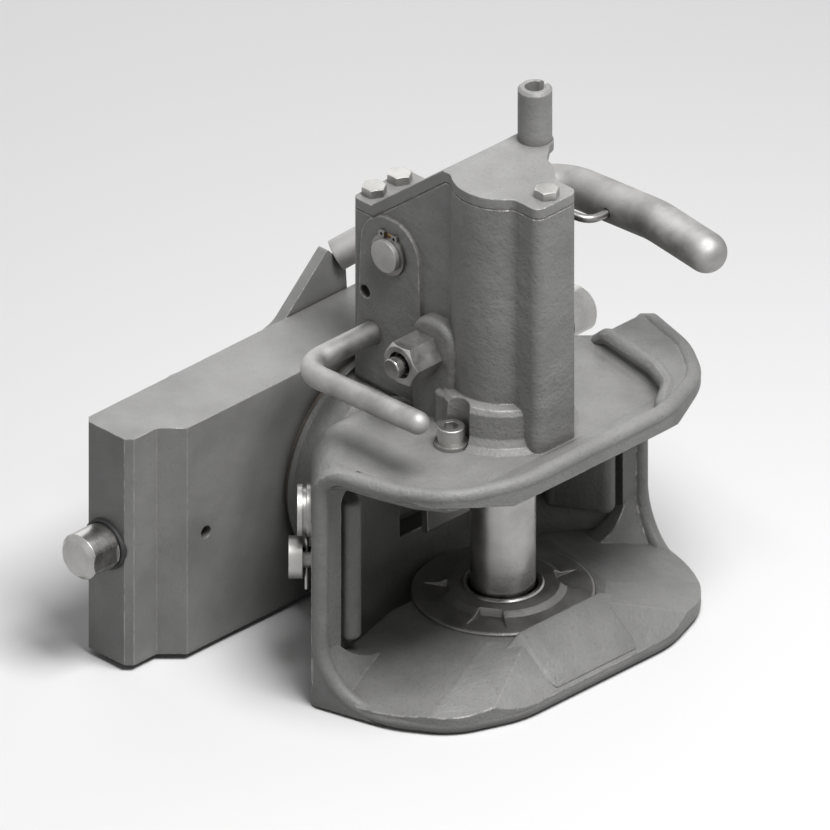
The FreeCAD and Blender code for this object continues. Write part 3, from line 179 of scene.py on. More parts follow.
# Web between the funnel's wall and the upper lip's pad, with a top that carries the pad's rear slope down
WEB_REAR_X = 112.0 * MM
WEB_FRONT_X = 123.9 * MM
WEB_INNER_Y = 99.0 * MM
WEB_BEND_Y = 119.0 * MM
WEB_OUTER_Y = 127.0 * MM
WEB_LOW_Z = 60.0 * MM
WEB_TOP_Z = 74.4 * MM
WEB_FALL = 11.1 * MM
WEB_TAPER = Vector((6.5, 0.0, 0.0)) * MM
WEB_CLIMB = Vector((0.0, 0.0, 6.1)) * MM

# Edge of the dished floor in mm. Each station gives x, the floor's height, the y of its bend, and the y and
# height of its outer line.
EDGE_STATIONS = (
    (121.0, 66.0, -114.0, -127.0, 68.0),
    (132.0, 66.4, -113.5, -125.8, 73.5),
    (150.0, 66.4, -111.0, -121.8, 74.3),
    (172.0, 66.4, -104.0, -114.3, 74.3),
    (190.0, 67.7, -95.0, -105.5, 74.3),
    (196.0, 70.3, -92.0, -101.5, 74.3),
)
EDGE_INNER_Y = -88.0
EDGE_THICKNESS = 5.0 * MM
EDGE_GRID = 2.0

# Rounded edges: faces across each, and the angle in degrees up to which a wire or another piece is smooth
ROUND_FACES = 3
WIRE_SMOOTH = 40
FLAT_SMOOTH = 30

# Least share of a face's normal along a direction that the face looks in, and how near two points are one
FACING = 0.9
SAME_POINT = 0.01 * MM

# Colours of the finishes
CAST_PAINT = (0.235, 0.233, 0.230)
PLATE_PAINT = (0.245, 0.243, 0.240)
COVER_PAINT = (0.255, 0.253, 0.250)
PRIMER = (0.115, 0.112, 0.108)
BARE_STEEL = (0.42, 0.41, 0.40)
GROUND_STEEL = (0.40, 0.395, 0.385)
FORGED_STEEL = (0.27, 0.265, 0.26)
ZINC = (0.46, 0.455, 0.44)
HANDLE_STEEL = (0.37, 0.365, 0.36)
SPRING_STEEL = (0.25, 0.245, 0.24)
BRONZE = (0.56, 0.37, 0.17)
RUBBER = (0.035, 0.035, 0.036)
LINING = (0.10, 0.085, 0.07)
FIBRE = (0.13, 0.125, 0.115)
# Dark colour that hollows take on: partly dirt and oil, partly painted shade from the occlusion mask
GRIME_AND_SHADE = (0.060, 0.056, 0.052)
FLOOR_SEEN = (0.82, 0.82, 0.82)
FLOOR_BOUNCE = (0.34, 0.34, 0.34)

# Worn edges, and dirt with painted shade in hollows: the span over which each comes up, and the samples that
# find them
WEAR_SPAN = (0.985, 0.88)
DIRT_AND_SHADE_SPAN = (0.85, 0.35)
EDGE_SAMPLES = 4

# Span of a noise that is spread over the whole of another span
NOISE_SPAN = (0.3, 0.7)

# Painted surfaces: reach of the dirt and painted shade, sizes of the marks in metres, how much larger and
# deeper lumps are than the grain, shades of the paint, spans over which the marks come up, and the share that
# each is shown with
PAINT_DIRT_AND_SHADE = 0.009
PAINT_DIRT_AND_SHADE_WEIGHT = 2.0
PAINT_DIRT_AND_SHADE_SHARE = 0.75
PAINT_CLOUD = 0.045
PAINT_CLOUD_SPAN = (0.32, 0.68)
PAINT_CHIP = 0.0045
PAINT_CHIP_SPAN = (0.44, 0.54)
PAINT_CHIP_DEPTH = -0.00006
PAINT_CHIPPED_EDGE = (0.12, 0.5)
PAINT_RUBBED_EDGE = (0.0, 0.4)
PAINT_RUBBED_SHARE = 0.5
PAINT_SPECK_SPAN = (0.30, 0.44)
PAINT_SPECK_SHARE = 0.45
PAINT_SMEAR = 0.018
PAINT_SMEAR_LESS = 0.07
PAINT_SMEAR_MORE = 0.12
PAINT_LUMP = 7.0
PAINT_LUMP_DEPTH = 2.6
PAINT_DARK = 0.84
PAINT_LIGHT = 1.12
PAINT_RUBBED = 1.5

# Bare and plated steel: the same for oil with painted shade in hollows, clouds, scratches and spots
STEEL_OIL_AND_SHADE = 0.008
STEEL_OIL_AND_SHADE_WEIGHT = 1.6
STEEL_CLOUD = 0.022
STEEL_CLOUD_SPAN = (0.35, 0.65)
STEEL_SMEAR_LESS = 0.08
STEEL_SMEAR_MORE = 0.10
STEEL_SCRATCH = 0.0022
STEEL_SCRATCH_ROUGHNESS = 0.05
STEEL_SPOT = 0.0016
STEEL_SPOT_SPAN = (0.60, 0.72)
STEEL_SPOT_SHARE = 0.45
STEEL_SPOT_DEPTH = -0.00001
STEEL_EDGE_SHARE = 0.6
STEEL_DARK = 0.80
STEEL_LIGHT = 1.12
STEEL_STAINED = 0.55
STEEL_BRIGHT = 1.35

# Forged steel: the same for oil with painted shade in hollows, clouds, shot marks and waves
FORGED_METALLIC = 0.85
FORGED_OIL_AND_SHADE = 0.010
FORGED_OIL_AND_SHADE_SHARE = 0.5
FORGED_CLOUD = 0.02
FORGED_ROUGHNESS = (0.40, 0.60)
FORGED_PIT = 0.0011
FORGED_PIT_DEPTH = 0.00008
FORGED_WAVE = 0.006
FORGED_WAVE_DEPTH = 0.0002
FORGED_EDGE_SHARE = 0.7
FORGED_DARK = 0.75

# Rubber, fibre and lining: the same for edges and dust
PRESSED_EDGE = 0.0004
PRESSED_EDGE_SHARE = 0.25
PRESSED_SMEAR = 0.08
DUST = 0.012
DUST_SPAN = (0.42, 0.68)
DUST_SHARE = 0.35
DUST_LIGHT = 2.2
DUST_FLOOR = 0.03

# Tool marks round an axis, as the noise's scale along X, Y and Z: a mark is short where its scale is large
MARKS_ROUND_Z = (0.02, 0.02, 6.0)
MARKS_ROUND_Y = (0.02, 6.0, 0.02)
MARKS_ROUND_X = (6.0, 0.05, 0.05)

# Marks without a direction, and the depth of fine marks
HANDLE_MARKS = (0.6, 0.6, 0.6)
ZINC_MARKS = (0.9, 0.9, 0.9)
SPRING_MARKS = (0.5, 0.5, 0.5)
FINE_MARKS = 0.000008

# Ground pieces whose marks run round another axis than Z
BOLT_NODES = ("lock_bolt_right", "lock_bolt_left")
SWIVEL_NODES = ("thrust_washer", "driver_pin_right", "driver_pin_left")

# Stage: size and gloss of the floor, lamps, and the light all round
FLOOR_SIZE = 6.0
FLOOR_ROUGHNESS = 0.85
FLOOR_GLOSS = 0.1
LAMP_AIM = (0.1, 0.0, 0.05)
MAIN_LAMP = (0.66, -0.10, 1.42)
MAIN_LAMP_SIZE = 0.7
MAIN_LAMP_POWER = 28.0
REAR_LAMP = (-1.2, 0.7, 0.8)
REAR_LAMP_SIZE = 1.3
REAR_LAMP_POWER = 5.5
SOFT_LIGHT = 0.14
SEEN_LIGHT = 0.95


class Finish:
    """Node tree of one finish, with a short call for each node that it uses."""

    def __init__(self, name, roughness, metallic=0.0):
        self.material = bpy.data.materials.new(name)
        self.material.use_nodes = True
        self.tree = self.material.node_tree
        self.shader = self.tree.nodes["Principled BSDF"]
        self.shader.inputs["Roughness"].default_value = roughness
        self.shader.inputs["Metallic"].default_value = metallic
        self.place = self.tree.nodes.new("ShaderNodeTexCoord").outputs["Object"]

    def give(self, socket, value):
        """Links an output to a socket, or sets a plain value on it."""
        if isinstance(value, bpy.types.NodeSocket):
            self.tree.links.new(value, socket)
        else:
            socket.default_value = value

    def to_shader(self, socket, value):
        """Sends a value to one of the shader's own sockets."""
        self.give(self.shader.inputs[socket], value)

    def noise(self, size, detail=4.0, roughness=0.55, stretch=(1.0, 1.0, 1.0)):
        """Noise whose features are about that size, longer along an axis with a stretch below 1."""
        mapping = self.tree.nodes.new("ShaderNodeMapping")
        mapping.inputs["Scale"].default_value = stretch
        self.give(mapping.inputs["Vector"], self.place)
        node = self.tree.nodes.new("ShaderNodeTexNoise")
        self.give(node.inputs["Vector"], mapping.outputs["Vector"])
        node.inputs["Scale"].default_value = 1.0 / size
        node.inputs["Detail"].default_value = detail
        node.inputs["Roughness"].default_value = roughness
        return node.outputs["Fac"]

    def pits(self, size):
        """Cells of about that size, for shot marks and sand grains."""
        node = self.tree.nodes.new("ShaderNodeTexVoronoi")
        self.give(node.inputs["Vector"], self.place)
        node.inputs["Scale"].default_value = 1.0 / size
        return node.outputs["Distance"]

    def spread(self, value, low, high, to_low=0.0, to_high=1.0):
        """Value's span from low to high, laid over another span and held there."""
        node = self.tree.nodes.new("ShaderNodeMapRange")
        self.give(node.inputs["Value"], value)
        node.inputs["From Min"].default_value = low
        node.inputs["From Max"].default_value = high
        node.inputs["To Min"].default_value = to_low
        node.inputs["To Max"].default_value = to_high
        return node.outputs["Result"]

    def combine(self, operation, first, second):
        """Sum, difference or product of two values."""
        node = self.tree.nodes.new("ShaderNodeMath")
        node.operation = operation
        self.give(node.inputs[0], first)
        self.give(node.inputs[1], second)
        return node.outputs["Value"]

    def blend(self, share, first, second):
        """Colour between two colours."""
        node = self.tree.nodes.new("ShaderNodeMix")
        node.data_type = "RGBA"
        self.give(node.inputs["Factor"], share)
        sockets = [socket for socket in node.inputs if socket.type == "RGBA"]
        for socket, colour in zip(sockets, (first, second)):
            if isinstance(colour, tuple):
                colour = (*colour, 1.0)
            self.give(socket, colour)
        return [socket for socket in node.outputs if socket.type == "RGBA"][0]

    def edges(self, radius):
        """Rounded normal at the edges, and how near an edge the surface is."""
        bevel = self.tree.nodes.new("ShaderNodeBevel")
        bevel.samples = EDGE_SAMPLES
        bevel.inputs["Radius"].default_value = radius
        surface = self.tree.nodes.new("ShaderNodeNewGeometry").outputs["Normal"]
        dot = self.tree.nodes.new("ShaderNodeVectorMath")
        dot.operation = "DOT_PRODUCT"
        self.give(dot.inputs[0], bevel.outputs["Normal"])
        self.give(dot.inputs[1], surface)
        return bevel.outputs["Normal"], self.spread(dot.outputs["Value"], *WEAR_SPAN)

    def hollows(self, distance):
        """How deep the surface lies in a corner or hollow, from ambient occlusion; the finishes darken there
        with painted shade and dirt.
        """
        node = self.tree.nodes.new("ShaderNodeAmbientOcclusion")
        node.samples = EDGE_SAMPLES
        node.inputs["Distance"].default_value = distance
        return self.spread(node.outputs["AO"], *DIRT_AND_SHADE_SPAN)

    def bump(self, height, depth, normal):
        """Relief of a depth in metres over another normal."""
        node = self.tree.nodes.new("ShaderNodeBump")
        node.inputs["Strength"].default_value = 1.0
        node.inputs["Distance"].default_value = depth
        self.give(node.inputs["Height"], height)
        self.give(node.inputs["Normal"], normal)
        return node.outputs["Normal"]


def shade(colour, share):
    """Darker or lighter colour, held at white."""
    return tuple(min(1.0, channel * share) for channel in colour)


def painted(name, colour, grain_size, grain_depth, edge, gloss=0.46):
    """Satin paint over a rough or machined surface: worn at its edges, and darkened in its corners by dirt
    and painted shade.
    """
    finish = Finish(name, gloss)
    rounded, near_edge = finish.edges(edge)
    deep = finish.hollows(PAINT_DIRT_AND_SHADE)
    clouds = finish.noise(PAINT_CLOUD, detail=3.0)
    grain = finish.noise(grain_size, detail=5.0, roughness=0.62)
    lumps = finish.noise(grain_size * PAINT_LUMP, detail=3.0)
    chips = finish.spread(finish.noise(PAINT_CHIP, detail=6.0, roughness=0.72), *PAINT_CHIP_SPAN)
    open_edge = finish.combine("SUBTRACT", near_edge, finish.combine("MULTIPLY", deep, PAINT_DIRT_AND_SHADE_WEIGHT))
    worn = finish.combine("MULTIPLY", finish.spread(open_edge, *PAINT_CHIPPED_EDGE), chips)
    clouded = finish.spread(clouds, *PAINT_CLOUD_SPAN)
    paint = finish.blend(clouded, shade(colour, PAINT_DARK), shade(colour, PAINT_LIGHT))
    speckle = finish.spread(grain, *PAINT_SPECK_SPAN, PAINT_SPECK_SHARE, 0.0)
    paint = finish.blend(speckle, paint, PRIMER)
    rubbed = finish.spread(open_edge, *PAINT_RUBBED_EDGE, 0.0, PAINT_RUBBED_SHARE)
    paint = finish.blend(rubbed, paint, shade(colour, PAINT_RUBBED))
    # Painted shade and dirt: the paint darkens towards the dark hollow colour wherever ambient occlusion
    # finds a corner
    paint = finish.blend(finish.spread(deep, 0.0, 1.0, 0.0, PAINT_DIRT_AND_SHADE_SHARE), paint, GRIME_AND_SHADE)
    finish.to_shader("Base Color", finish.blend(worn, paint, BARE_STEEL))
    finish.to_shader("Metallic", worn)
    smears = finish.noise(PAINT_SMEAR, detail=4.0, roughness=0.6)
    smeared = finish.spread(smears, *NOISE_SPAN, gloss - PAINT_SMEAR_LESS, gloss + PAINT_SMEAR_MORE)
    finish.to_shader("Roughness", smeared)
    relief = finish.bump(lumps, grain_depth * PAINT_LUMP_DEPTH, rounded)
    relief = finish.bump(grain, grain_depth, relief)
    finish.to_shader("Normal", finish.bump(worn, PAINT_CHIP_DEPTH, relief))
    return name, finish.material


def machined(name, colour, roughness, edge, marks, mark_depth=0.000012, oil_and_shade=0.35):
    """Bare or plated steel with tool marks, handling smears, and oil with painted shade in its corners."""
    finish = Finish(name, roughness, metallic=1.0)
    rounded, near_edge = finish.edges(edge)
    deep = finish.hollows(STEEL_OIL_AND_SHADE)
    clouds = finish.noise(STEEL_CLOUD, detail=4.0, roughness=0.6)
    scratches = finish.noise(STEEL_SCRATCH, detail=4.0, roughness=0.6, stretch=marks)
    spots = finish.spread(finish.noise(STEEL_SPOT, detail=5.0, roughness=0.7), *STEEL_SPOT_SPAN)
    clouded = finish.spread(clouds, *STEEL_CLOUD_SPAN)
    steel = finish.blend(clouded, shade(colour, STEEL_DARK), shade(colour, STEEL_LIGHT))
    stained = finish.combine("MULTIPLY", spots, STEEL_SPOT_SHARE)
    steel = finish.blend(stained, steel, shade(colour, STEEL_STAINED))
    polished = finish.combine("MULTIPLY", near_edge, STEEL_EDGE_SHARE)
    steel = finish.blend(polished, steel, shade(colour, STEEL_BRIGHT))
    # Oil and painted shade: the steel darkens towards the dark hollow colour wherever ambient occlusion finds
    # a corner
    oiled_and_shaded = finish.combine("MULTIPLY", deep, oil_and_shade * STEEL_OIL_AND_SHADE_WEIGHT)
    finish.to_shader("Base Color", finish.blend(oiled_and_shaded, steel, GRIME_AND_SHADE))
    smears = finish.spread(clouds, *NOISE_SPAN, roughness - STEEL_SMEAR_LESS, roughness + STEEL_SMEAR_MORE)
    drag = finish.spread(scratches, *NOISE_SPAN, -STEEL_SCRATCH_ROUGHNESS, STEEL_SCRATCH_ROUGHNESS)
    finish.to_shader("Roughness", finish.combine("ADD", smears, drag))
    relief = finish.bump(scratches, mark_depth, rounded)
    finish.to_shader("Normal", finish.bump(spots, STEEL_SPOT_DEPTH, relief))
    return name, finish.material


def forged(name, colour, edge):
    """Forged, shot-blasted and oiled steel, darkened in its corners by oil and painted shade."""
    finish = Finish(name, sum(FORGED_ROUGHNESS) / 2, FORGED_METALLIC)
    rounded, near_edge = finish.edges(edge)
    deep = finish.hollows(FORGED_OIL_AND_SHADE)
    pits = finish.pits(FORGED_PIT)
    clouds = finish.noise(FORGED_CLOUD, detail=5.0, roughness=0.65)
    clouded = finish.spread(clouds, *STEEL_CLOUD_SPAN)
    steel = finish.blend(clouded, shade(colour, FORGED_DARK), colour)
    steel = finish.blend(finish.combine("MULTIPLY", near_edge, FORGED_EDGE_SHARE), steel, BARE_STEEL)
    # Oil and painted shade: the steel darkens towards the dark hollow colour wherever ambient occlusion finds
    # a corner
    oiled_and_shaded = finish.combine("MULTIPLY", deep, FORGED_OIL_AND_SHADE_SHARE)
    finish.to_shader("Base Color", finish.blend(oiled_and_shaded, steel, GRIME_AND_SHADE))
    finish.to_shader("Roughness", finish.spread(clouds, *NOISE_SPAN, *FORGED_ROUGHNESS))
    relief = finish.bump(pits, FORGED_PIT_DEPTH, rounded)
    waves = finish.noise(FORGED_WAVE, detail=3.0)
    finish.to_shader("Normal", finish.bump(waves, FORGED_WAVE_DEPTH, relief))
    return name, finish.material


def pressed(name, colour, roughness, size, depth):
    """Rubber, fibre or lining: dull, fine-grained and a little dusty."""
    finish = Finish(name, roughness)
    rounded, near_edge = finish.edges(PRESSED_EDGE)
    grain = finish.noise(size, detail=5.0, roughness=0.65)
    dust = finish.spread(finish.noise(DUST), *DUST_SPAN, 0.0, DUST_SHARE)
    worn = finish.combine("ADD", dust, finish.combine("MULTIPLY", near_edge, PRESSED_EDGE_SHARE))
    pale = tuple(min(1.0, channel * DUST_LIGHT + DUST_FLOOR) for channel in colour)
    finish.to_shader("Base Color", finish.blend(worn, colour, pale))
    smeared = finish.spread(grain, *NOISE_SPAN, roughness - PRESSED_SMEAR, roughness + PRESSED_SMEAR)
    finish.to_shader("Roughness", smeared)
    finish.to_shader("Normal", finish.bump(grain, depth, rounded))
    return name, finish.material


def finishes():
    """One material for each slot of the record, and two more of ground steel."""
    return dict([
        painted("cast_paint", CAST_PAINT, grain_size=0.0019, grain_depth=0.00042, edge=0.0016),
        painted("plate_paint", PLATE_PAINT, grain_size=0.0010, grain_depth=0.00010, edge=0.0011, gloss=0.42),
        painted("cover_paint", COVER_PAINT, grain_size=0.0014, grain_depth=0.00022, edge=0.0012),
        machined("ground_steel", GROUND_STEEL, roughness=0.32, edge=0.0006, marks=MARKS_ROUND_Z),
        machined("bolt_steel", GROUND_STEEL, roughness=0.30, edge=0.0006, marks=MARKS_ROUND_Y),
        machined("swivel_steel", GROUND_STEEL, roughness=0.32, edge=0.0005, marks=MARKS_ROUND_X),
        forged("forged_steel", FORGED_STEEL, edge=0.0010),
        machined(
            "handle_steel", HANDLE_STEEL,
            roughness=0.58, edge=0.0008, marks=HANDLE_MARKS, mark_depth=0.00002, oil_and_shade=0.2,
        ),
        machined(
            "zinc_steel", ZINC,
            roughness=0.42, edge=0.0003, marks=ZINC_MARKS, mark_depth=FINE_MARKS, oil_and_shade=0.3,
        ),
        machined(
            "spring_steel", SPRING_STEEL,
            roughness=0.34, edge=0.0002, marks=SPRING_MARKS, mark_depth=FINE_MARKS, oil_and_shade=0.3,
        ),
        machined(
            "bronze", BRONZE,
            roughness=0.33, edge=0.0003, marks=MARKS_ROUND_Z, mark_depth=FINE_MARKS, oil_and_shade=0.3,
        ),
        pressed("brake_lining", LINING, roughness=0.85, size=0.0009, depth=0.00006),
        pressed("gasket_sheet", FIBRE, roughness=0.9, size=0.0006, depth=0.00003),
        pressed("black_rubber", RUBBER, roughness=0.62, size=0.0005, depth=0.00002),
    ])


def dress_nodes(frame, materials):
    """Gives each node of the frame the finish of its slot."""
    for part in frame["record"]["subparts"]:
        finish = part["material_slot"]
        if part["node"] in BOLT_NODES:
            finish = "bolt_steel"
        if part["node"] in SWIVEL_NODES:
            finish = "swivel_steel"
        mesh = frame["nodes"][part["node"]].data
        mesh.materials.clear()
        mesh.materials.append(materials[finish])


def select_none():
    """Leaves edit mode with nothing selected."""
    if bpy.context.object and bpy.context.object.mode != "OBJECT":
        bpy.ops.object.mode_set(mode="OBJECT")
    bpy.ops.object.select_all(action="DESELECT")


def bent_wire(name, points, thickness, material):
    """Round wire through the points, with closed ends, as a mesh."""
    select_none()
    curve = bpy.data.curves.new(name, "CURVE")
    curve.dimensions = "3D"
    curve.bevel_depth = thickness / 2
    curve.bevel_resolution = WIRE_ROUNDNESS
    curve.use_fill_caps = True
    spline = curve.splines.new("POLY")
    spline.points.add(len(points) - 1)
    for knot, point in zip(spline.points, points):
        knot.co = (*point, 1.0)
    wire = bpy.data.objects.new(name, curve)
    bpy.context.scene.collection.objects.link(wire)
    wire.select_set(True)
    bpy.context.view_layer.objects.active = wire
    bpy.ops.object.convert(target="MESH")
    wire = bpy.context.object
    bpy.ops.object.shade_smooth_by_angle(angle=math.radians(WIRE_SMOOTH))
    wire.data.materials.clear()
    wire.data.materials.append(material)
    return wire


def coil_along_y(centre, mean, low, high, turns, closed=CLOSED_ENDS, start=0.0):
    """Points of a coil round Y whose end turns can lie closer together than the others."""
    count = int(turns * COIL_STEPS)
    points = []
    for i in range(count + 1):
        share = i / count
        ease = closed * math.sin(2 * math.pi * share) / (2 * math.pi)
        eased = share - ease
        turn = start - 2 * math.pi * turns * share
        points.append(Vector((
            centre.x + mean * math.cos(turn), low + (high - low) * eased, centre.z + mean * math.sin(turn),
        )))
    return points


def soft_bend(before, corner, after, reach):
    """Points of a smooth bend that starts and ends at a distance from its corner."""
    first = corner + (before - corner).normalized() * reach
    last = corner + (after - corner).normalized() * reach
    points = []
    for i in range(BEND_STEPS + 1):
        t = i / BEND_STEPS
        points.append(first * (1 - t) ** 2 + corner * (2 * t * (1 - t)) + last * t ** 2)
    return points


def closing_spring(material):
    """Torsion spring: its foot stands against the tower's lug, its leg enters the hand lever."""
    coil = coil_along_y(
        SHAFT, CLOSING_MEAN, CLOSING_LOW, CLOSING_HIGH, CLOSING_TURNS, closed=0.0, start=CLOSING_START,
    )
    foot_top = coil[0] + FOOT_TOP
    foot = [foot_top - Vector((0, 0, FOOT_END)), foot_top - Vector((0, 0, FOOT_BEND))]
    tip = LINK_HOLE - LEG_TIP
    leg = soft_bend(coil[-1], LINK_HOLE - LEG_KNEE, tip, LEG_BEND)
    wire = bent_wire("closing_coil", foot + coil + leg + [tip], CLOSING_WIRE, material)
    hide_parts("closing_spring")
    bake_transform(wire)


def lock_springs(material):
    """Springs behind both lock bolts, made at one length and carried with the plate; in the coupling they
    shorten as the lever draws the bolts in.
    """
    for side, word in ((1, "right"), (-1, "left")):
        low = (LOCK_SEAT + LOCK_WIRE / 2) * side
        high = (LOCK_FACE - LOCK_WIRE / 2) * side
        points = coil_along_y(Vector((0, 0, 0)), LOCK_MEAN, low, high, LOCK_TURNS)
        wire = bent_wire("lock_coil_" + word, points, LOCK_WIRE, material)
        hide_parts("lock_spring_" + word)
        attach(wire, "carrier")
        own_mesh(wire)


def indicator_spring(material):
    """Spring in the indicator's housing, which the pin's collar presses in."""
    low = INDICATOR_OUTER + INDICATOR_WIRE / 2
    high = INDICATOR_INNER - INDICATOR_WIRE / 2
    points = coil_along_y(INDICATOR, INDICATOR_MEAN, low, high, INDICATOR_TURNS)
    wire = bent_wire("indicator_coil", points, INDICATOR_WIRE, material)
    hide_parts("indicator_spring")
    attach(wire, "jaw")
    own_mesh(wire)


def ready(piece):
    """Puts a new primitive's place, turn and size into its mesh, and opens it for editing."""
    bpy.ops.object.transform_apply(location=True, rotation=True, scale=True)
    bpy.ops.object.mode_set(mode="EDIT")
    return piece


def pick(piece, kind, test):
    """Selects the faces or points of the edited piece that a test names."""
    bpy.ops.mesh.select_mode(type=kind)
    bpy.ops.mesh.select_all(action="DESELECT")
    shape = bmesh.from_edit_mesh(piece.data)
    for item in shape.faces if kind == "FACE" else shape.verts:
        if test(item):
            item.select_set(True)
    shape.select_flush_mode()
    bmesh.update_edit_mesh(piece.data)


def cut_away(piece, cutter):
    """Takes the cutter's shape out of a piece."""
    select_none()
    piece.select_set(True)
    bpy.context.view_layer.objects.active = piece
    bpy.ops.object.modifier_add(type="BOOLEAN")
    cut = piece.modifiers[-1]
    cut.operation = "DIFFERENCE"
    cut.solver = "EXACT"
    cut.object = cutter
    bpy.ops.object.modifier_apply(modifier=cut.name)
    bpy.data.objects.remove(cutter)


def round_edges(piece, width, angle):
    """Rounds the edges of a piece that are sharper than an angle in degrees."""
    select_none()
    piece.select_set(True)
    bpy.context.view_layer.objects.active = piece
    bpy.ops.object.modifier_add(type="BEVEL")
    bevel = piece.modifiers[-1]
    bevel.width = width
    bevel.segments = ROUND_FACES
    bevel.limit_method = "ANGLE"
    bevel.angle_limit = math.radians(angle)
    bpy.ops.object.modifier_apply(modifier=bevel.name)
    bpy.ops.object.shade_smooth_by_angle(angle=math.radians(FLAT_SMOOTH))


def corner_web(material):
    """Web that closes the frame's upper corner between the funnel, the lip's pad and the rim bead."""
    middle = Vector((WEB_REAR_X + WEB_FRONT_X, WEB_INNER_Y + WEB_BEND_Y, WEB_LOW_Z + WEB_TOP_Z)) / 2
    select_none()
    bpy.ops.mesh.primitive_cube_add(
        size=1.0, location=middle,
        scale=(WEB_FRONT_X - WEB_REAR_X, WEB_BEND_Y - WEB_INNER_Y, WEB_TOP_Z - WEB_LOW_Z),
    )
    web = ready(bpy.context.object)
    web.name = "corner_web"
    pick(web, "VERT", lambda point: point.co.x < middle.x and point.co.z > middle.z)
    bpy.ops.transform.translate(value=(0.0, 0.0, -WEB_FALL))
    pick(web, "FACE", lambda face: face.normal.y > FACING)
    bpy.ops.mesh.extrude_region_move(TRANSFORM_OT_translate={"value": (0.0, WEB_OUTER_Y - WEB_BEND_Y, 0.0)})
    pick(web, "VERT", lambda point: point.co.x < middle.x and point.co.y > WEB_BEND_Y + MM)
    bpy.ops.transform.translate(value=WEB_TAPER)
    pick(web, "VERT", lambda point: point.co.x < middle.x + WEB_TAPER.x and point.co.y > WEB_BEND_Y + MM
         and WEB_LOW_Z + MM < point.co.z < middle.z)
    bpy.ops.transform.translate(value=WEB_CLIMB)
    select_none()
    web.data.materials.append(material)
    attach(web, "jaw")


def dish_edge(material):
    """Outer edge of the upper lip's dished floor, which bends up to the rim bead."""
    select_none()
    bpy.ops.mesh.primitive_grid_add(x_subdivisions=len(EDGE_STATIONS) - 1, y_subdivisions=2, size=EDGE_GRID)
    edge = ready(bpy.context.object)
    edge.name = "dish_edge"
    half = EDGE_GRID / 2
    step = EDGE_GRID / (len(EDGE_STATIONS) - 1)
    for i, (x, floor_z, bend_y, outer_y, outer_z) in enumerate(EDGE_STATIONS):
        across = ((half, EDGE_INNER_Y, floor_z), (0.0, bend_y, floor_z), (-half, outer_y, outer_z))
        for row, y, z in across:
            spot = Vector((i * step - half, row, 0.0))
            pick(edge, "VERT", lambda point: (point.co - spot).length < step / 8)
            bpy.ops.transform.translate(value=Vector((x, y, z)) * MM - spot)
    bpy.ops.mesh.select_all(action="SELECT")
    bpy.ops.mesh.extrude_region_move(TRANSFORM_OT_translate={"value": (0.0, 0.0, -EDGE_THICKNESS)})
    bpy.ops.mesh.select_all(action="SELECT")
    bpy.ops.mesh.normals_make_consistent(inside=False)
    select_none()
    edge.select_set(True)
    bpy.ops.object.shade_smooth_by_angle(angle=math.radians(FLAT_SMOOTH))
    edge.data.materials.append(material)
    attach(edge, "jaw")


def ramp_place():
    """Middle, slope and outward direction of the lower lip's ramp."""
    middle = Vector((RAMP_REAR_X + RAMP_FRONT_X, 0.0, RAMP_TOP_Z + RAMP_FOOT_Z)) / 2
    slope = math.atan2(RAMP_TOP_Z - RAMP_FOOT_Z, RAMP_FRONT_X - RAMP_REAR_X)
    return middle, slope, Vector((math.sin(slope), 0.0, math.cos(slope)))


def lip_ramp(material):
    """Ramp of the lower lip, with a crease at each side that narrows to a point at the rim."""
    middle, slope, outward = ramp_place()
    length = math.hypot(RAMP_FRONT_X - RAMP_REAR_X, RAMP_TOP_Z - RAMP_FOOT_Z)
    crease_y = RAMP_HALF + CREASE_FLARE / 2
    select_none()
    bpy.ops.mesh.primitive_cube_add(
        size=1.0, location=middle - outward * (RAMP_DEPTH / 2), rotation=(0.0, slope, 0.0),
        scale=(length, 2 * RAMP_HALF, RAMP_DEPTH),
    )
    ramp = ready(bpy.context.object)
    ramp.name = "lip_ramp"
    for side in (1, -1):
        flare = Vector((0.0, CREASE_FLARE * side, -CREASE_DROP))
        pick(ramp, "FACE", lambda face: face.normal.y * side > FACING)
        bpy.ops.mesh.extrude_region_move(TRANSFORM_OT_translate={"value": flare})
        pick(ramp, "VERT", lambda point: point.co.x > middle.x and point.co.y * side > crease_y)
        bpy.ops.transform.translate(value=-flare)
    bpy.ops.mesh.select_all(action="SELECT")
    bpy.ops.mesh.remove_doubles(threshold=SAME_POINT)
    bpy.ops.mesh.normals_make_consistent(inside=False)
    round_edges(ramp, CREASE_ROUND, CREASE_SHARP)
    ramp.data.materials.append(material)
    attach(ramp, "jaw")


def ring_cutters():
    """Bore, ramp's seat and pockets as cutters for the wear ring, each one made when it is asked for."""
    bpy.ops.mesh.primitive_cylinder_add(
        vertices=RING_SIDES, radius=RING_BORE, depth=BORE_DEPTH, location=(PIN_X, 0.0, RING_RIM_Z),
    )
    yield bpy.context.object
    middle, slope, outward = ramp_place()
    seat = middle + outward * (RAMP_CUT / 2 - RAMP_SEAM)
    bpy.ops.mesh.primitive_cube_add(size=RAMP_CUT, location=seat, rotation=(0.0, slope, 0.0))
    yield bpy.context.object
    for turn in POCKET_TURNS:
        angle = math.radians(turn)
        bpy.ops.mesh.primitive_cube_add(size=1.0, scale=(POCKET_LENGTH, POCKET_WIDTH, POCKET_CUT))
        scoop = ready(bpy.context.object)
        pick(scoop, "VERT", lambda point: point.co.x > 0)
        bpy.ops.transform.resize(value=(1.0, POCKET_FLARE, 1.0), center_override=(0.0, 0.0, 0.0))
        select_none()
        scoop.rotation_euler = (0.0, -math.radians(POCKET_RISE), angle)
        scoop.location = (
            PIN_X + POCKET_MIDDLE * math.cos(angle),
            POCKET_MIDDLE * math.sin(angle),
            POCKET_FLOOR_Z + POCKET_CUT / 2,
        )
        yield scoop


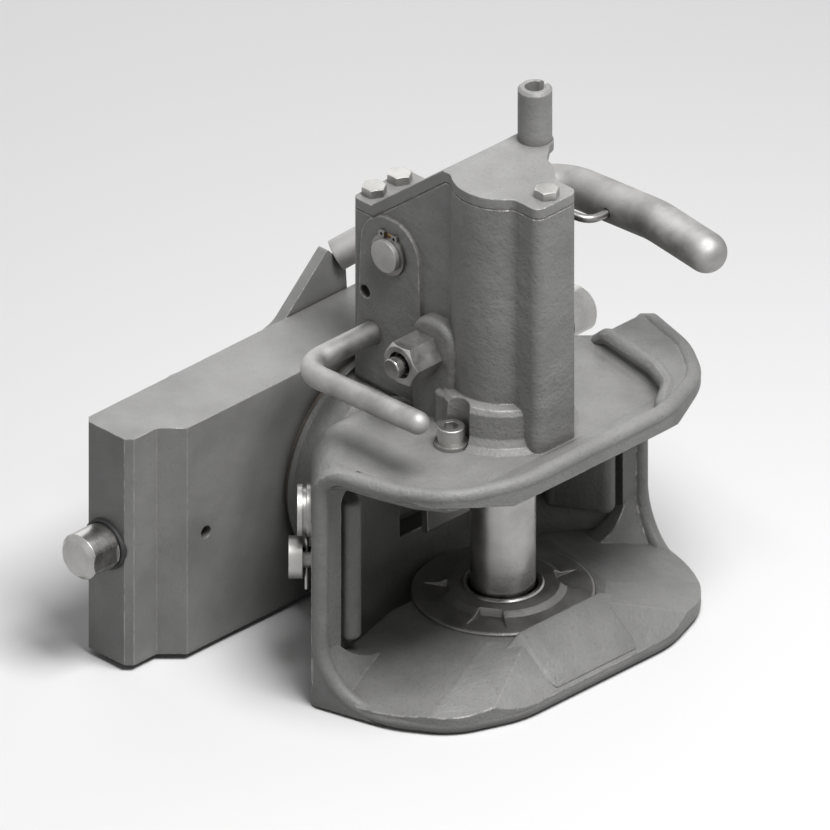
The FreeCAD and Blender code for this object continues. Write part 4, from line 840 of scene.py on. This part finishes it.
def scooped_ring(material):
    """Wear ring: a proud rim, a cone up to the inner land, and four scooped pockets."""
    select_none()
    bpy.ops.mesh.primitive_cylinder_add(
        vertices=RING_SIDES, radius=RING_RADIUS, depth=RING_RIM_Z - RING_FLOOR_Z,
        location=(PIN_X, 0.0, (RING_RIM_Z + RING_FLOOR_Z) / 2),
    )
    ring = ready(bpy.context.object)
    ring.name = "scooped_ring"
    pick(ring, "FACE", lambda face: face.normal.z > FACING)
    for width, rise in RING_STEPS:
        bpy.ops.mesh.inset(thickness=width * MM, depth=rise * MM)
    select_none()
    for cutter in ring_cutters():
        cut_away(ring, cutter)
    round_edges(ring, RING_EDGE, RING_SHARP)
    ring.data.materials.append(material)
    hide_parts("wear_ring")
    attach(ring, "jaw")


def pad_roll(material):
    """Rounded roll along the inner edge of the upper lip's pad."""
    corners = [Vector(corner) * MM for corner in ROLL_CORNERS]
    points = [corners[0]]
    for before, corner, after in zip(corners, corners[1:], corners[2:]):
        points += soft_bend(before, corner, after, ROLL_BEND)
    points.append(corners[-1])
    roll = bent_wire("pad_roll", points, 2 * ROLL_RADIUS, material)
    round_edges(roll, ROLL_END, ROLL_SHARP)
    bpy.ops.object.shade_smooth_by_angle(angle=math.radians(WIRE_SMOOTH))
    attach(roll, "jaw")


def seen_directly(tree):
    """1 for rays from the camera, a reflection or a clear body, and 0 for soft light."""
    path = tree.nodes.new("ShaderNodeLightPath")
    share = path.outputs["Is Camera Ray"]
    for word in ("Is Glossy Ray", "Is Transmission Ray"):
        larger = tree.nodes.new("ShaderNodeMath")
        larger.operation = "MAXIMUM"
        tree.links.new(share, larger.inputs[0])
        tree.links.new(path.outputs[word], larger.inputs[1])
        share = larger.outputs["Value"]
    return share


def floor(level):
    """Pale floor under the coupling."""
    select_none()
    bpy.ops.mesh.primitive_plane_add(size=FLOOR_SIZE, location=(0, 0, level))
    ground = bpy.context.object
    ground.name = "floor"
    finish = Finish("floor", FLOOR_ROUGHNESS)
    finish.to_shader("Base Color", finish.blend(seen_directly(finish.tree), FLOOR_BOUNCE, FLOOR_SEEN))
    finish.to_shader("Specular IOR Level", FLOOR_GLOSS)
    ground.data.materials.append(finish.material)
    ground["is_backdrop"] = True


def lamp(name, place, size, power):
    """Square soft light that faces the coupling."""
    data = bpy.data.lights.new(name, "AREA")
    data.shape = "SQUARE"
    data.size = size
    data.energy = power
    light = bpy.data.objects.new(name, data)
    light.location = place
    light.rotation_euler = (Vector(LAMP_AIM) - Vector(place)).to_track_quat("-Z", "Y").to_euler()
    bpy.context.scene.collection.objects.link(light)


def world_light(soft, seen):
    """Even light all round, with a paler background for the camera and for reflections."""
    world = bpy.data.worlds.new("studio")
    world.use_nodes = True
    bpy.context.scene.world = world
    tree = world.node_tree
    background = tree.nodes["Background"]
    strength = tree.nodes.new("ShaderNodeMapRange")
    strength.inputs["To Min"].default_value = soft
    strength.inputs["To Max"].default_value = seen
    tree.links.new(seen_directly(tree), strength.inputs["Value"])
    tree.links.new(strength.outputs["Result"], background.inputs["Strength"])
    background.inputs["Color"].default_value = (1.0, 1.0, 1.0, 1.0)


def camera():
    """Parallel camera at the drawing's angle."""
    azimuth = math.radians(VIEW_AZIMUTH)
    elevation = math.radians(VIEW_ELEVATION)
    out = Vector((
        math.sin(azimuth) * math.cos(elevation),
        -math.cos(azimuth) * math.cos(elevation),
        math.sin(elevation),
    ))
    data = bpy.data.cameras.new("camera")
    data.type = "ORTHO"
    data.ortho_scale = VIEW_WIDTH
    eye = bpy.data.objects.new("camera", data)
    eye.location = VIEW_CENTRE + out * VIEW_DISTANCE
    eye.rotation_euler = (-out).to_track_quat("-Z", "Y").to_euler()
    bpy.context.scene.collection.objects.link(eye)
    bpy.context.scene.camera = eye


def main():
    """Dresses the frame, adds the springs and the scene's own forms, and sets floor, light and camera."""
    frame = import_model()
    cad_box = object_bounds()
    materials = finishes()
    dress_nodes(frame, materials)
    closing_spring(materials["spring_steel"])
    lock_springs(materials["spring_steel"])
    indicator_spring(materials["spring_steel"])
    lip_ramp(materials["cast_paint"])
    scooped_ring(materials["forged_steel"])
    pad_roll(materials["cast_paint"])
    corner_web(materials["cast_paint"])
    dish_edge(materials["cast_paint"])
    floor(cad_box[0][2])
    lamp("main", MAIN_LAMP, MAIN_LAMP_SIZE, MAIN_LAMP_POWER)
    lamp("rear", REAR_LAMP, REAR_LAMP_SIZE, REAR_LAMP_POWER)
    world_light(SOFT_LIGHT, SEEN_LIGHT)
    camera()
    bpy.context.scene.view_settings.view_transform = "Standard"


main()
